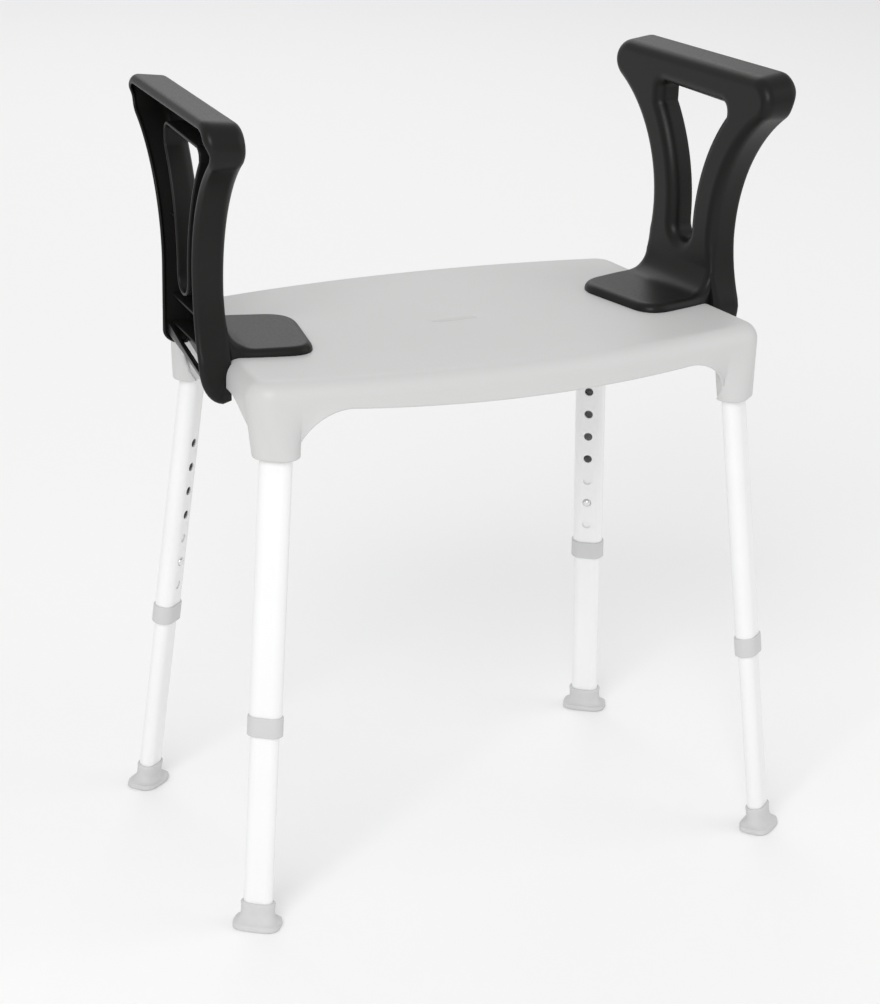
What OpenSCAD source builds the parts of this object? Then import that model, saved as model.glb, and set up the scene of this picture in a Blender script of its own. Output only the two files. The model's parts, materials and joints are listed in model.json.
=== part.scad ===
// Height-adjustable shower stool: a one-piece moulded seat on four splayed
// telescopic oval legs, with a moulded armrest clipped over each side.
// Units are millimetres, +Z is up, -Y is the front, and the origin lies on the
// floor under the middle of the seat.

/* [Stand] */
// Height of the seat's rim above the floor
seat_height = 501.5; // [480:0.5:545]
// Distance between the two front feet, centre to centre
front_foot_span = 531.1; // [505:0.1:550]
// Distance between the two rear feet, centre to centre
rear_foot_span = 494.1; // [470:0.1:520]
// Distance from the front feet to the rear feet
foot_depth = 326.6; // [310:0.1:345]
// Sideways lean of a leg, per unit of height
splay_x = 0.075; // [0.06:0.005:0.09]
// Front-to-back lean of a leg, per unit of height
splay_y = 0.094; // [0.08:0.002:0.11]

/* [Seat] */
// Half of the seat's width at its middle
seat_half_w = 245; // [238:0.5:255]
// How much each side edge turns in towards the back, per unit of depth
side_taper = 0.0875; // [0.07:0.0025:0.1]
// Half of the seat's depth at its middle
seat_half_d = 159; // [154:1:168]
// Radius of the bowed front and back edges
bow_r = 1120; // [800:10:1500]
// Radius of the seat's corners, seen from above
corner_r = 22; // [18:1:30]
// Radius of the rolled edge between the top and the skirt
edge_r = 11; // [6:1:13]
// Thickness of the seat's top
seat_plate = 6; // [4.5:0.5:8]
// Thickness of the skirt
seat_wall = 3; // [2:0.5:4]
// Depth of the skirt below the rim
skirt = 23; // [20:1:32]
// Depth of the dish in the middle of the top
dish_depth = 3.5; // [1:0.5:3.5]
// Radius of the dish
dish_r = 120; // [90:5:130]
// Length of the drain slot
slot_length = 46; // [20:1:80]
// Width of the drain slot
slot_width = 8; // [4:0.5:10]
// Length of a leg socket below the rim
socket_drop = 66; // [55:1:75]
// Wall of a leg socket at its mouth
socket_wall = 3.8; // [2.5:0.1:5]
// Height of the stiffening ribs under the top
rib_height = 9; // [6:1:18]
// Thickness of the stiffening ribs
rib_t = 2.5; // [2:0.5:4]

/* [Legs] */
// Long width of the upper tube's oval
upper_long = 30.2; // [28:0.2:33]
// Short width of the upper tube's oval
upper_short = 18.6; // [18:0.2:21]
// Wall of both tubes
tube_wall = 1.4; // [1:0.1:1.8]
// Gap all round between the two tubes
slide_gap = 0.25; // [0.15:0.05:0.4]
// Gap between fixed pieces that are pushed together
push_gap = 0.05; // [0.02:0.01:0.1]
// From the hole in use down to the upper tube's lower end
tube_start_drop = 59; // [53:1:78]
// From the hole in use up to the lower tube's upper end
tube_end_rise = 34; // [26:1:50]
// Distance between two height holes
hole_pitch = 25; // [20:1:26]
// Number of height holes
hole_count = 7; // [3:1:7]
// Number of height holes below the one in use
holes_below = 1; // [0:1:1]
// Height along the leg of the hole in use
button_height = 245.4; // [243:0.1:252]
// Diameter of a height hole
hole_d = 8.6; // [7:0.2:8.6]
// Gap all round between the snap button and its holes
button_gap = 0.3; // [0.2:0.05:0.5]
// How far the snap button stands out of the upper tube
button_proud = 2; // [1:0.5:4]

/* [Collar, foot and lock] */
// Total height of the collar
collar_height = 18.5; // [14:0.5:26]
// Height of the collar's guide lip under the upper tube
collar_lip = 5.2; // [3:0.2:8]
// Wall of the collar round the upper tube
collar_wall = 1.5; // [1.2:0.1:3]
// Height of the foot along the leg
foot_height = 24; // [21:1:36]
// Wall of the foot round the lower tube
foot_wall = 2.2; // [1.8:0.1:4]
// Width of the sole across the leg's diagonal
sole_w = 44; // [40:1:50]
// Width of the sole along the leg's diagonal
sole_d = 32; // [30:1:40]
// Thickness of the sole's rim
sole_t = 5.5; // [4:0.5:7]
// Thickness of the steel washer in the foot
washer_t = 2; // [1:0.5:3]
// Width of the leg lock button
lock_w = 13; // [10:0.5:14]
// Height of the leg lock button
lock_h = 18; // [15:0.5:20]
// How far the leg lock button stands out of its socket
lock_proud = 2.6; // [1.5:0.1:3.5]
// Height of the lock button's middle above the socket's mouth
lock_rise = 17; // [14:0.5:20]

/* [Armrests] */
// Height of the grip's top above the seat's rim
arm_height = 229; // [200:1:250]
// Depth of the armrest's channel from its inner face outwards
arm_depth = 26; // [22:0.5:30]
// Depth of the grip from the inner face outwards
grip_depth = 32; // [28:0.5:36]
// Outward lean of the armrest in degrees
arm_lean = 1; // [0:0.1:3]
// Wall of the armrest's moulding
arm_wall = 3; // [2.5:0.1:4]
// How much lower the grip's rear end lies than its front end
grip_fall = 5; // [0:0.5:8]
// Radius of the grip's front end
nose_r = 20.5; // [17:0.5:22]
// Radius of the grip's rear end
tail_r = 19; // [16:0.5:20]
// Thickness of the flange on the seat
flange_t = 6.5; // [5:0.5:8]
// Radius of the fillet between flange and upright
fillet_r = 28; // [16:1:32]
// Gap between an armrest and the seat's edge
arm_gap = 0.3; // [0.2:0.1:1]

/* [Hidden] */
$fn = 64;

seat_grey = [0.80, 0.80, 0.79];
tube_white = [0.95, 0.95, 0.95];
trim_grey = [0.78, 0.78, 0.78];
charcoal = [0.21, 0.20, 0.20];
steel = [0.70, 0.70, 0.72];
eps = 0.01;

// Legs: sides are +1 for right and rear, -1 for left and front.
FRONT = -1;
REAR = 1;
LEFT = -1;
RIGHT = 1;
tilt = atan(sqrt(splay_x * splay_x + splay_y * splay_y));
stretch = 1 / cos(tilt);                       // length along a leg per unit of height
function foot_x(side, end) = side * (end == FRONT ? front_foot_span : rear_foot_span) / 2;
function foot_y(end) = end * foot_depth / 2;
function leg_x(side, end, z) = foot_x(side, end) - side * splay_x * z;
function leg_y(end, z) = foot_y(end) - end * splay_y * z;
function leg_turn(side, end) = atan2(-end * splay_y, -side * splay_x);

// Heights along a leg
mouth_z = seat_height - socket_drop;           // the socket's mouth, above the floor
mouth = mouth_z * stretch;
tube_end_drop = 20;                            // from the rim down to the upper tube's end
upper_end = (seat_height - tube_end_drop) * stretch;
upper_start = button_height - tube_start_drop;
lower_end = button_height + tube_end_rise;
collar_start = upper_start - collar_lip;
lower_start = 8;                               // from the floor up to the lower tube's end
lock_height = mouth + lock_rise;

// Oval sections, as half widths
lower_long = upper_long - 2 * (tube_wall + slide_gap);
lower_short = upper_short - 2 * (tube_wall + slide_gap);
button_r = hole_d / 2 - button_gap;
button_face = lower_short / 2 - tube_wall;     // inner face of the lower tube

// An oval bar standing on the XY plane: two half rounds and the flat between them.
// The long way runs along Y.
module oval_bar(long, short, height) {
    for (s = [-1, 1])
        translate([0, s * (long - short) / 2, 0])
            cylinder(d = short, h = height);
    translate([-short / 2, -(long - short) / 2, 0])
        cube([short, long - short, height]);
}

// Puts children on a leg: Z runs up the leg from the floor, X points inwards
// along the stool's diagonal.
module on_leg(side, end) {
    translate([foot_x(side, end), foot_y(end), 0])
        rotate([0, 0, leg_turn(side, end)])
            rotate([0, tilt, 0])
                children();
}

// ---- Seat --------------------------------------------------------------

// The side edge is a straight line at a slight angle; its outward normal
// and its distance from the origin:
side_norm = 1 / sqrt(1 + side_taper * side_taper);
side_n = [side_norm, side_taper * side_norm];
side_p = seat_half_w * side_norm;
bow_c = bow_r - seat_half_d;                   // how far the bow's centre lies past the middle

// Centre of a corner: corner_r inside both the side line and the bowed edge.
function corner_t(end) =
    let(c = -end * bow_c, q = (side_p - corner_r) * side_n - [0, c],
        d = [-side_n[1], side_n[0]], b = q * d, r = bow_r - corner_r)
    -b + end * sqrt(b * b - q * q + r * r);
function corner_c(end) =
    (side_p - corner_r) * side_n + corner_t(end) * [-side_n[1], side_n[0]];
function bow_angle(end) =
    let(c = corner_c(end), v = c - [0, -end * bow_c]) atan2(v[1], v[0]);
side_angle = atan2(side_n[1], side_n[0]);
arc_steps = 8;
bow_steps = 10;

function arc_points(c, r, a0, a1, steps) =
    [for (i = [0 : steps]) let(a = a0 + (a1 - a0) * i / steps) c + r * [cos(a), sin(a)]];

// Right half of the outline from the front's middle round to the back's middle
function half_outline(inset) = concat(
    arc_points([0, bow_c], bow_r - inset, -90, bow_angle(FRONT), bow_steps),
    [for (i = [1 : arc_steps])
        let(a = bow_angle(FRONT) + (side_angle - bow_angle(FRONT)) * i / arc_steps)
        corner_c(FRONT) + (corner_r - inset) * [cos(a), sin(a)]],
    arc_points(corner_c(REAR), corner_r - inset, side_angle, bow_angle(REAR), arc_steps),
    [for (i = [1 : bow_steps])
        let(a = bow_angle(REAR) + (90 - bow_angle(REAR)) * i / bow_steps)
        [0, -bow_c] + (bow_r - inset) * [cos(a), sin(a)]]);

function mirrored(points) =
    [for (i = [len(points) - 2 : -1 : 1]) [-points[i][0], points[i][1]]];
function outline(inset) = concat(half_outline(inset), mirrored(half_outline(inset)));

// A closed skin through rings of equal length, given from bottom to top
module skin(rings) {
    n = len(rings[0]);
    m = len(rings);
    points = [for (ring = rings) each ring];
    faces = concat(
        [[for (j = [0 : n - 1]) j]],
        [for (i = [0 : m - 2]) for (j = [0 : n - 1])
            [i * n + j, (i + 1) * n + j, (i + 1) * n + (j + 1) % n, i * n + (j + 1) % n]],
        [[for (j = [n - 1 : -1 : 0]) (m - 1) * n + j]]);
    polyhedron(points, faces, convexity = 6);
}

// The seat's outline from z0 to z1 with its top edge rolled over by radius r
module seat_form(inset, z0, z1, r) {
    roll_steps = 4;
    levels = concat([[z0, 0]],
        [for (i = [0 : roll_steps]) let(a = 90 * i / roll_steps)
            [z1 - r + r * sin(a), r - r * cos(a)]]);
    skin([for (l = levels) [for (p = outline(inset + l[1])) [p[0], p[1], l[0]]]]);
}

// A leg socket, as rings round the leg. At its mouth a ring is an oval that follows
// the tube, and at the top it is a squared oval that fills the seat's corner.
// Outwards the wall runs straight from one to the other. Inwards it sweeps out in a
// quarter round, which is the arch between the socket and the skirt. The inset makes
// the hollow's rings.
arch_reach_x = 52;                             // from the leg's axis, inwards to the skirt
arch_reach_y = 56;
arch_steps = 6;
socket_square = 2.5;                           // exponent of the top ring's squared oval
corner_margin = 1.6;                           // from the top ring to the seat's edge
arch_top_z = seat_height - skirt + 4;
cavity_z = seat_height - seat_plate;
splay_angle = atan2(splay_y, splay_x);
function arch(t) = 1 - sqrt(1 - t * t);
function side_x(y) = side_p / side_norm - side_taper * y;
function bow_y(x) = sqrt(bow_r * bow_r - x * x) - bow_c;
function signed_pow(v, e) = sign(v) * pow(abs(v), e);

// A ring's point at angle a from the leg's axis, outwards being positive both ways
function socket_point(end, t, z, inset, a) =
    let(short = upper_short / 2 + socket_wall - inset,
        long = upper_long / 2 + socket_wall - inset,
        reach = 1 / norm([cos(a - splay_angle) / short, sin(a - splay_angle) / long]),
        x = leg_x(RIGHT, end, z),
        y = leg_y(end, z),
        top_x = cos(a) > 0 ? side_x(y) - x - corner_margin : arch_reach_x,
        top_y = sin(a) > 0 ? bow_y(x) - end * y - corner_margin : arch_reach_y,
        share_x = cos(a) > 0 ? t : arch(t),
        share_y = sin(a) > 0 ? t : arch(t))
    [reach * cos(a) * (1 - share_x)
        + (top_x - inset) * signed_pow(cos(a), 2 / socket_square) * share_x,
     reach * sin(a) * (1 - share_y)
        + (top_y - inset) * signed_pow(sin(a), 2 / socket_square) * share_y];
function socket_ring(side, end, t, z, inset) =
    let(steps = 32)
    [for (i = [0 : steps - 1])
        let(p = socket_point(end, t, z, inset, side * end * 360 * i / steps))
        [leg_x(side, end, z) + side * p[0], leg_y(end, z) + end * p[1], z]];
function socket_rings(side, end, inset, t0, top, top_inset) = concat(
    [for (i = [0 : arch_steps])
        let(t = t0 + (1 - t0) * sin(90 * i / arch_steps))
        socket_ring(side, end, t, mouth_z + (arch_top_z - mouth_z) * t, inset)],
    [socket_ring(side, end, 1, seat_height - edge_r, inset),
     socket_ring(side, end, 1, top, top_inset)]);

// Solid of a socket with its arches
module socket_form(side, end) {
    skin(socket_rings(side, end, 0, 0, cavity_z + seat_plate / 2, 0.6 * edge_r));
}

// Hollow between the arch's wall and the sleeve that holds the tube
module socket_hollow(side, end) {
    difference() {
        skin(socket_rings(side, end, socket_wall, 0.45, cavity_z, socket_wall + 2));
        on_leg(side, end)
            translate([0, 0, mouth - 5])
                oval_bar(upper_long + 2 * socket_wall, upper_short + 2 * socket_wall, 2 * socket_drop);
    }
}

module socket_cuts(side, end) {
    on_leg(side, end) {
        translate([0, 0, mouth - 10])
            oval_bar(upper_long + 2 * push_gap, upper_short + 2 * push_gap,
                upper_end + push_gap - mouth + 10);
        translate([-lock_out(end) - lock_proud, 0, lock_height])
            lock_bar(lock_w + 2 * lock_gap, lock_h + 2 * lock_gap,
                lock_out(end) + lock_proud - upper_short / 2 + push_gap);
    }
}

// Ribs under the top: a grid between the sockets, open round the drain slot
rib_x = 70;                                    // distance between the ribs that run front to back
rib_y = 140;                                   // distance between the ribs that run sideways
slot_margin = 7;                               // from the slot's end to the boss round it
slot_boss_r = slot_length / 2 + slot_margin;
module seat_ribs() {
    reach_x = 2 * rib_x + 40;
    reach_y = seat_half_d - 18;
    difference() {
        translate([0, 0, cavity_z - rib_height]) {
            for (x = [-2 : 2])
                translate([x * rib_x - rib_t / 2, -reach_y, 0])
                    cube([rib_t, 2 * reach_y, rib_height + 1]);
            for (y = [-rib_y / 2, rib_y / 2])
                translate([-reach_x, y - rib_t / 2, 0])
                    cube([2 * reach_x, rib_t, rib_height + 1]);
            cylinder(r = slot_boss_r, h = rib_height + 1);
        }
        translate([0, 0, cavity_z - rib_height - 1])
            cylinder(r = slot_boss_r - rib_t, h = rib_height + 1);
    }
}

// Shallow dish in the top, an arc turned about the seat's middle
module dish() {
    dish_ball = (dish_r * dish_r + dish_depth * dish_depth) / (2 * dish_depth);
    dish_steps = 8;
    translate([0, 0, seat_height])
        rotate_extrude($fn = 96)
            polygon(concat([[0, 1], [0, -dish_depth]],
                [for (i = [1 : dish_steps]) let(r = dish_r * i / dish_steps)
                    [r, dish_ball - dish_depth - sqrt(dish_ball * dish_ball - r * r)]],
                [[dish_r, 1]]));
}

module drain_slot() {
    translate([0, 0, cavity_z - rib_height])
        rotate([0, 0, 90])
            oval_bar(slot_length, slot_width, rib_height + seat_plate + 1);
}

module seat_shell() {
    color(seat_grey)
        difference() {
            union() {
                difference() {
                    seat_form(0, seat_height - skirt, seat_height, edge_r);
                    seat_form(seat_wall, seat_height - skirt - 1, cavity_z,
                        edge_r - seat_wall);
                }
                seat_ribs();
                for (side = [LEFT, RIGHT], end = [FRONT, REAR])
                    socket_form(side, end);
            }
            for (side = [LEFT, RIGHT], end = [FRONT, REAR]) {
                socket_hollow(side, end);
                socket_cuts(side, end);
            }
            dish();
            drain_slot();
        }
}

// ---- Legs --------------------------------------------------------------

hole_low = button_height - holes_below * hole_pitch;

module upper_tube(side, end) {
    color(tube_white)
        on_leg(side, end)
            difference() {
                translate([0, 0, upper_start])
                    oval_bar(upper_long, upper_short, upper_end - upper_start);
                translate([0, 0, upper_start - 1])
                    oval_bar(upper_long - 2 * tube_wall, upper_short - 2 * tube_wall,
                        upper_end - upper_start + 2);
                for (i = [0 : hole_count - 1])
                    translate([0, 0, hole_low + i * hole_pitch])
                        rotate([0, 90, 0])
                            cylinder(d = hole_d, h = upper_short);
                translate([-upper_short, 0, lock_height])
                    rotate([0, 90, 0])
                        cylinder(r = lock_stem_r + button_gap, h = upper_short);
            }
}

module collar(side, end) {
    outer_long = upper_long + 2 * collar_wall;
    outer_short = upper_short + 2 * collar_wall;
    color(trim_grey)
        on_leg(side, end)
            difference() {
                translate([0, 0, collar_start])
                    oval_bar(outer_long, outer_short, collar_height);
                translate([0, 0, upper_start - push_gap])
                    oval_bar(upper_long + 2 * push_gap, upper_short + 2 * push_gap,
                        collar_height);
                translate([0, 0, collar_start - 1])
                    oval_bar(lower_long + 2 * slide_gap, lower_short + 2 * slide_gap,
                        collar_height);
            }
}

module lower_tube(side, end) {
    color(tube_white)
        on_leg(side, end)
            difference() {
                translate([0, 0, lower_start])
                    oval_bar(lower_long, lower_short, lower_end - lower_start);
                translate([0, 0, lower_start - 1])
                    oval_bar(lower_long - 2 * tube_wall, lower_short - 2 * tube_wall,
                        lower_end - lower_start + 2);
                translate([0, 0, button_height])
                    rotate([0, 90, 0])
                        cylinder(d = hole_d, h = upper_short);
            }
}

// Plastic end of the lower tube: a plug in the tube and a rim that runs in the
// upper tube's bore
sleeve_plug = 8;
sleeve_rim = 3;
sleeve_gap = 0.15;
module glide_sleeve(side, end) {
    color(trim_grey)
        on_leg(side, end)
            difference() {
                union() {
                    translate([0, 0, lower_end])
                        oval_bar(upper_long - 2 * (tube_wall + sleeve_gap),
                            upper_short - 2 * (tube_wall + sleeve_gap), sleeve_rim);
                    translate([0, 0, lower_end - sleeve_plug])
                        oval_bar(lower_long - 2 * (tube_wall + push_gap),
                            lower_short - 2 * (tube_wall + push_gap), sleeve_plug + eps);
                }
                translate([0, 0, lower_end - sleeve_plug - 1])
                    oval_bar(lower_long - 2 * tube_wall - 4, lower_short - 2 * tube_wall - 4,
                        sleeve_plug + sleeve_rim + 2);
            }
}

button_flange_t = 1;
button_tip = upper_short / 2 + button_proud;
button_press = button_tip - lower_short / 2 + slide_gap;   // travel that frees the upper tube

module snap_button(side, end) {
    dome = 2;
    color(steel)
        on_leg(side, end)
            translate([0, 0, button_height])
                rotate([0, 90, 0]) {
                    translate([0, 0, button_face - button_flange_t])
                        cylinder(r = button_r + 1, h = button_flange_t - push_gap);
                    translate([0, 0, button_face - button_flange_t])
                        rotate_extrude()
                            polygon(concat([[0, 0], [button_r, 0]],
                                [for (a = [0 : 15 : 90])
                                    [button_r - dome + dome * cos(a),
                                     button_tip - button_face + button_flange_t - dome + dome * sin(a)]],
                                [[0, button_tip - button_face + button_flange_t]]));
                }
}

// A bent strip: one arm carries the button, the other bears on the far wall
spring_w = 8;
spring_t = 0.6;
spring_arm = 14;
module snap_spring(side, end) {
    arm_x = button_face - button_flange_t;      // outer face of the button's arm
    back_x = -lower_short / 2 + tube_wall + push_gap;
    bend_r = (arm_x - back_x) / 2;
    foot_z = button_height - 6;
    bend_z = button_height + spring_arm;
    color(steel)
        on_leg(side, end) {
            translate([arm_x - spring_t, -spring_w / 2, foot_z])
                cube([spring_t, spring_w, bend_z - foot_z]);
            translate([back_x, -spring_w / 2, foot_z])
                cube([spring_t, spring_w, bend_z - foot_z]);
            translate([(arm_x + back_x) / 2, 0, bend_z])
                rotate([90, 0, 0])
                    translate([0, 0, -spring_w / 2])
                        difference() {
                            cylinder(r = bend_r, h = spring_w);
                            translate([0, 0, -1])
                                cylinder(r = bend_r - spring_t, h = spring_w + 2);
                            translate([-bend_r - 1, -2 * bend_r, -1])
                                cube([2 * bend_r + 2, 2 * bend_r, spring_w + 2]);
                        }
        }
}

// A foot, as rings up the leg: the sole lies level on the floor and the rings
// turn square to the leg as they narrow in a hollow flank to the oval neck.
foot_neck = 0.62;                              // share of the foot's height where the neck starts
function foot_ring(side, end, s, k, inset) =
    let(long = (lower_long / 2 + foot_wall) * k + (sole_w / 2) * (1 - k) - inset,
        short = (lower_short / 2 + foot_wall) * k + (sole_d / 2) * (1 - k) - inset,
        square = 3.2 - 0.9 * k,
        lean = tilt * k,
        turn = leg_turn(side, end),
        steps = 28)
    [for (i = [0 : steps - 1])
        let(a = 360 * i / steps,
            px = short * sign(cos(a)) * pow(abs(cos(a)), 2 / square),
            py = long * sign(sin(a)) * pow(abs(sin(a)), 2 / square),
            lx = px * cos(lean) + s * sin(tilt),
            lz = s * cos(tilt) - px * sin(lean))
        [foot_x(side, end) + lx * cos(turn) - py * sin(turn),
         foot_y(end) + lx * sin(turn) + py * cos(turn), lz]];
module foot_form(side, end) {
    chamfer = 1.2;
    flank_steps = 5;
    neck_z = foot_neck * foot_height;
    skin(concat(
        [foot_ring(side, end, 0, 0, chamfer),
         foot_ring(side, end, chamfer, 0, 0),
         foot_ring(side, end, sole_t, 0, 0)],
        [for (i = [1 : flank_steps])
            let(a = 90 * i / flank_steps)
            foot_ring(side, end, sole_t + (neck_z - sole_t) * (1 - cos(a)), sin(a), 0)],
        [foot_ring(side, end, foot_height, 1, 0)]));
}

module foot(side, end) {
    color(trim_grey)
        difference() {
            foot_form(side, end);
            on_leg(side, end)
                translate([0, 0, lower_start - washer_t])
                    oval_bar(lower_long + 2 * push_gap, lower_short + 2 * push_gap,
                        foot_height);
        }
}

module foot_washer(side, end) {
    color(steel)
        on_leg(side, end)
            translate([0, 0, lower_start - washer_t])
                oval_bar(lower_long - 1, lower_short - 1, washer_t - push_gap);
}

// Leg lock: a button in the socket's outer face with a stem through the tube
lock_gap = 0.3;
lock_stem_r = 3.5;
lock_stroke = 3;
lock_cap_t = 3;
lock_stem_in = 6;                              // the stem's inner end, from the leg's axis
lock_t = lock_rise / stretch / (arch_top_z - mouth_z);
// The button's outer face, from the leg's axis
function lock_out(end) = lock_proud + [cos(splay_angle), sin(splay_angle)]
    * socket_point(end, lock_t, mouth_z + lock_rise / stretch, 0, splay_angle);

// Oval bar lying along X, with its long way up the leg
module lock_bar(width, height, depth) {
    rotate([0, 90, 0])
        rotate([0, 0, 90])
            oval_bar(height, width, depth);
}

module lock_button(side, end) {
    color(seat_grey)
        on_leg(side, end)
            translate([0, 0, lock_height]) {
                translate([-lock_out(end), 0, 0])
                    lock_bar(lock_w, lock_h, lock_out(end) - upper_short / 2 - lock_stroke - lock_gap);
                translate([-lock_out(end) + 1, 0, 0])
                    rotate([0, 90, 0])
                        cylinder(r = lock_stem_r, h = lock_out(end) - 1 - lock_stem_in);
            }
}

// A strip bent to a U inside the tube's end, its arms on both walls
module lock_spring(side, end) {
    arm_x = lock_stem_in;
    far_x = upper_short / 2 - tube_wall - push_gap;
    bend_r = (arm_x + far_x) / 2;
    foot_z = lock_height - 5;
    bend_z = lock_height + 8;
    color(steel)
        on_leg(side, end) {
            translate([-arm_x, -spring_w / 2, foot_z])
                cube([spring_t, spring_w, bend_z - foot_z]);
            translate([far_x - spring_t, -spring_w / 2, foot_z])
                cube([spring_t, spring_w, bend_z - foot_z]);
            translate([(far_x - arm_x) / 2, 0, bend_z])
                rotate([90, 0, 0])
                    translate([0, 0, -spring_w / 2])
                        difference() {
                            cylinder(r = bend_r, h = spring_w);
                            translate([0, 0, -1])
                                cylinder(r = bend_r - spring_t, h = spring_w + 2);
                            translate([-bend_r - 1, -2 * bend_r, -1])
                                cube([2 * bend_r + 2, 2 * bend_r, spring_w + 2]);
                        }
        }
}

// ---- Armrests ----------------------------------------------------------

// Drawn for the right side in a frame whose X points outwards from the inner
// face, Y runs back along the seat's side edge and Z is height above the rim.
// The upright's two hollow flanks are large rounds that run smoothly into the
// rounds of the grip's ends.
nose = [-90, arm_height - nose_r];             // centre of the grip's front round
tail = [117, arm_height - grip_fall - tail_r]; // centre of the grip's rear round
front_flank = [-195, 66];                      // centre of the front flank's round
rear_flank = [186, 76];                        // centre of the rear flank's round
front_hole = [-187, 66];                       // centres of the hand opening's flanks
rear_hole = [200, 71];
front_hole_r = 180;
rear_hole_r = 172;
hole_drop = 32;                                // from the grip's top to the opening
hole_floor = 47;                               // from the rim to the opening
hook_front = 35;                               // reach of the hook below the rim
hook_rear = 12;
arm_front = -50;                               // ends of the upright's foot
arm_rear = 64;
function flank_r(flank, round, r) = norm(flank - round) - r;
function meet(flank, round, r) = round + (flank - round) * r / norm(flank - round);

// A round bar across the armrest
module cross_bar(centre, r, x0, x1, steps = 160) {
    translate([x0, centre[0], centre[1]])
        rotate([0, 90, 0])
            cylinder(r = r, h = x1 - x0, $fn = steps);
}

// A block across the armrest between two corners given as [y, z]
module cross_block(low, high, x0, x1) {
    translate([x0, low[0], low[1]])
        cube([x1 - x0, high[0] - low[0], high[1] - low[1]]);
}

// The upright and grip in side view, grown all round by g, from x0 to x1,
// standing on height foot_z
module upright_form(g, x0, x1, foot_z) {
    nose_meet = meet(front_flank, nose, nose_r + g);
    tail_meet = meet(rear_flank, tail, tail_r + g);
    difference() {
        union() {
            hull() {
                cross_bar(nose, nose_r + g, x0, x1, 64);
                cross_bar(tail, tail_r + g, x0, x1, 64);
            }
            cross_block([nose_meet[0], foot_z], [tail_meet[0], nose[1]], x0, x1);
        }
        cross_bar(front_flank, flank_r(front_flank, nose, nose_r) - g, x0 - 1, x1 + 1);
        cross_bar(rear_flank, flank_r(rear_flank, tail, tail_r) - g, x0 - 1, x1 + 1);
        cross_block([-200, foot_z - 1], [arm_front - g, front_flank[1] - 20], x0 - 1, x1 + 1);
        cross_block([arm_rear + g, foot_z - 1], [200, 24], x0 - 1, x1 + 1);
    }
}

// The hand opening grown all round by g, from x0 to x1
module hand_hole(g, x0, x1) {
    front_y = front_hole[0] + front_hole_r;
    rear_y = rear_hole[0] - rear_hole_r;
    round_r = (rear_y - front_y) / 2;
    round_z = hole_floor + round_r;
    difference() {
        cross_block([-50 - g, round_z], [62 + g, arm_height - hole_drop + g], x0, x1);
        cross_bar(front_hole, front_hole_r - g, x0 - 1, x1 + 1);
        cross_bar(rear_hole, rear_hole_r - g, x0 - 1, x1 + 1);
    }
    cross_bar([(front_y + rear_y) / 2, round_z], round_r + g, x0, x1, 64);
}

// Flange on the seat: a rounded plate that reaches in from the upright.
// Each corner is given as x, y and radius.
module flange() {
    corners = [[-62, -44, 14], [-74, 32, 14], [-20, 50, 12], [8, 58, 4], [8, -44, 4], [-20, -48, 8]];
    hull()
        for (c = corners)
            translate([c[0], c[1], 0])
                cylinder(r = c[2], h = flange_t, $fn = 32);
}

// Fillet between the flange and the upright's inner face
module fillet() {
    translate([-fillet_r, arm_front, flange_t - eps])
        difference() {
            cube([fillet_r + 1, arm_rear - 4 - arm_front, fillet_r]);
            translate([0, -1, fillet_r])
                rotate([-90, 0, 0])
                    cylinder(r = fillet_r, h = arm_rear - arm_front, $fn = 96);
        }
}

// Hook outside the seat's edge: a plate along the edge, deeper at the front,
// with a rounded end wall across the channel
module hook() {
    rotate([90, 0, 90])
        linear_extrude(arm_wall)
            polygon([[arm_front, 2], [arm_rear, 2], [arm_rear - 14, -hook_rear],
                [arm_front + arm_wall, -hook_front], [arm_front, -hook_front]]);
    translate([0, arm_front, 1])
        rotate([-90, 0, 0])
            intersection() {
                cube([arm_depth, hook_front + 1, arm_wall]);
                translate([-4, 0, 0])
                    cylinder(r = hook_front + 1, h = arm_wall);
            }
}

// Two cross ribs and a floor that stay in the open channel
module channel_ribs() {
    for (z = [flange_t, 34, 110])
        cross_block([-150, z], [150, z + arm_wall - 0.5], 0, arm_depth - 8);
}

module armrest_form() {
    grip_lip = 7;
    difference() {
        union() {
            upright_form(0, 0, arm_depth, 0);
            intersection() {
                upright_form(0, 0, grip_depth, 0);
                cross_block([-200, arm_height - grip_lip], [200, arm_height + 1], 0, grip_depth);
            }
            flange();
            fillet();
            hook();
        }
        difference() {
            upright_form(-arm_wall, arm_wall, arm_depth + 1, -1);
            hand_hole(arm_wall, 0, arm_depth + 2);
            channel_ribs();
        }
        hand_hole(0, -fillet_r, grip_depth + 1);
    }
}

// A leaning hook comes closer to the skirt the lower it goes, so the whole armrest
// stands off by what it leans over the skirt's depth.
module armrest(side) {
    color(charcoal)
        mirror([side == LEFT ? 1 : 0, 0, 0])
            translate([seat_half_w + arm_gap + skirt * tan(arm_lean), 0, seat_height])
                rotate([0, 0, atan(side_taper)])
                    rotate([0, arm_lean, 0])
                        armrest_form();
}

module left_armrest() { armrest(LEFT); }
module right_armrest() { armrest(RIGHT); }

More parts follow.
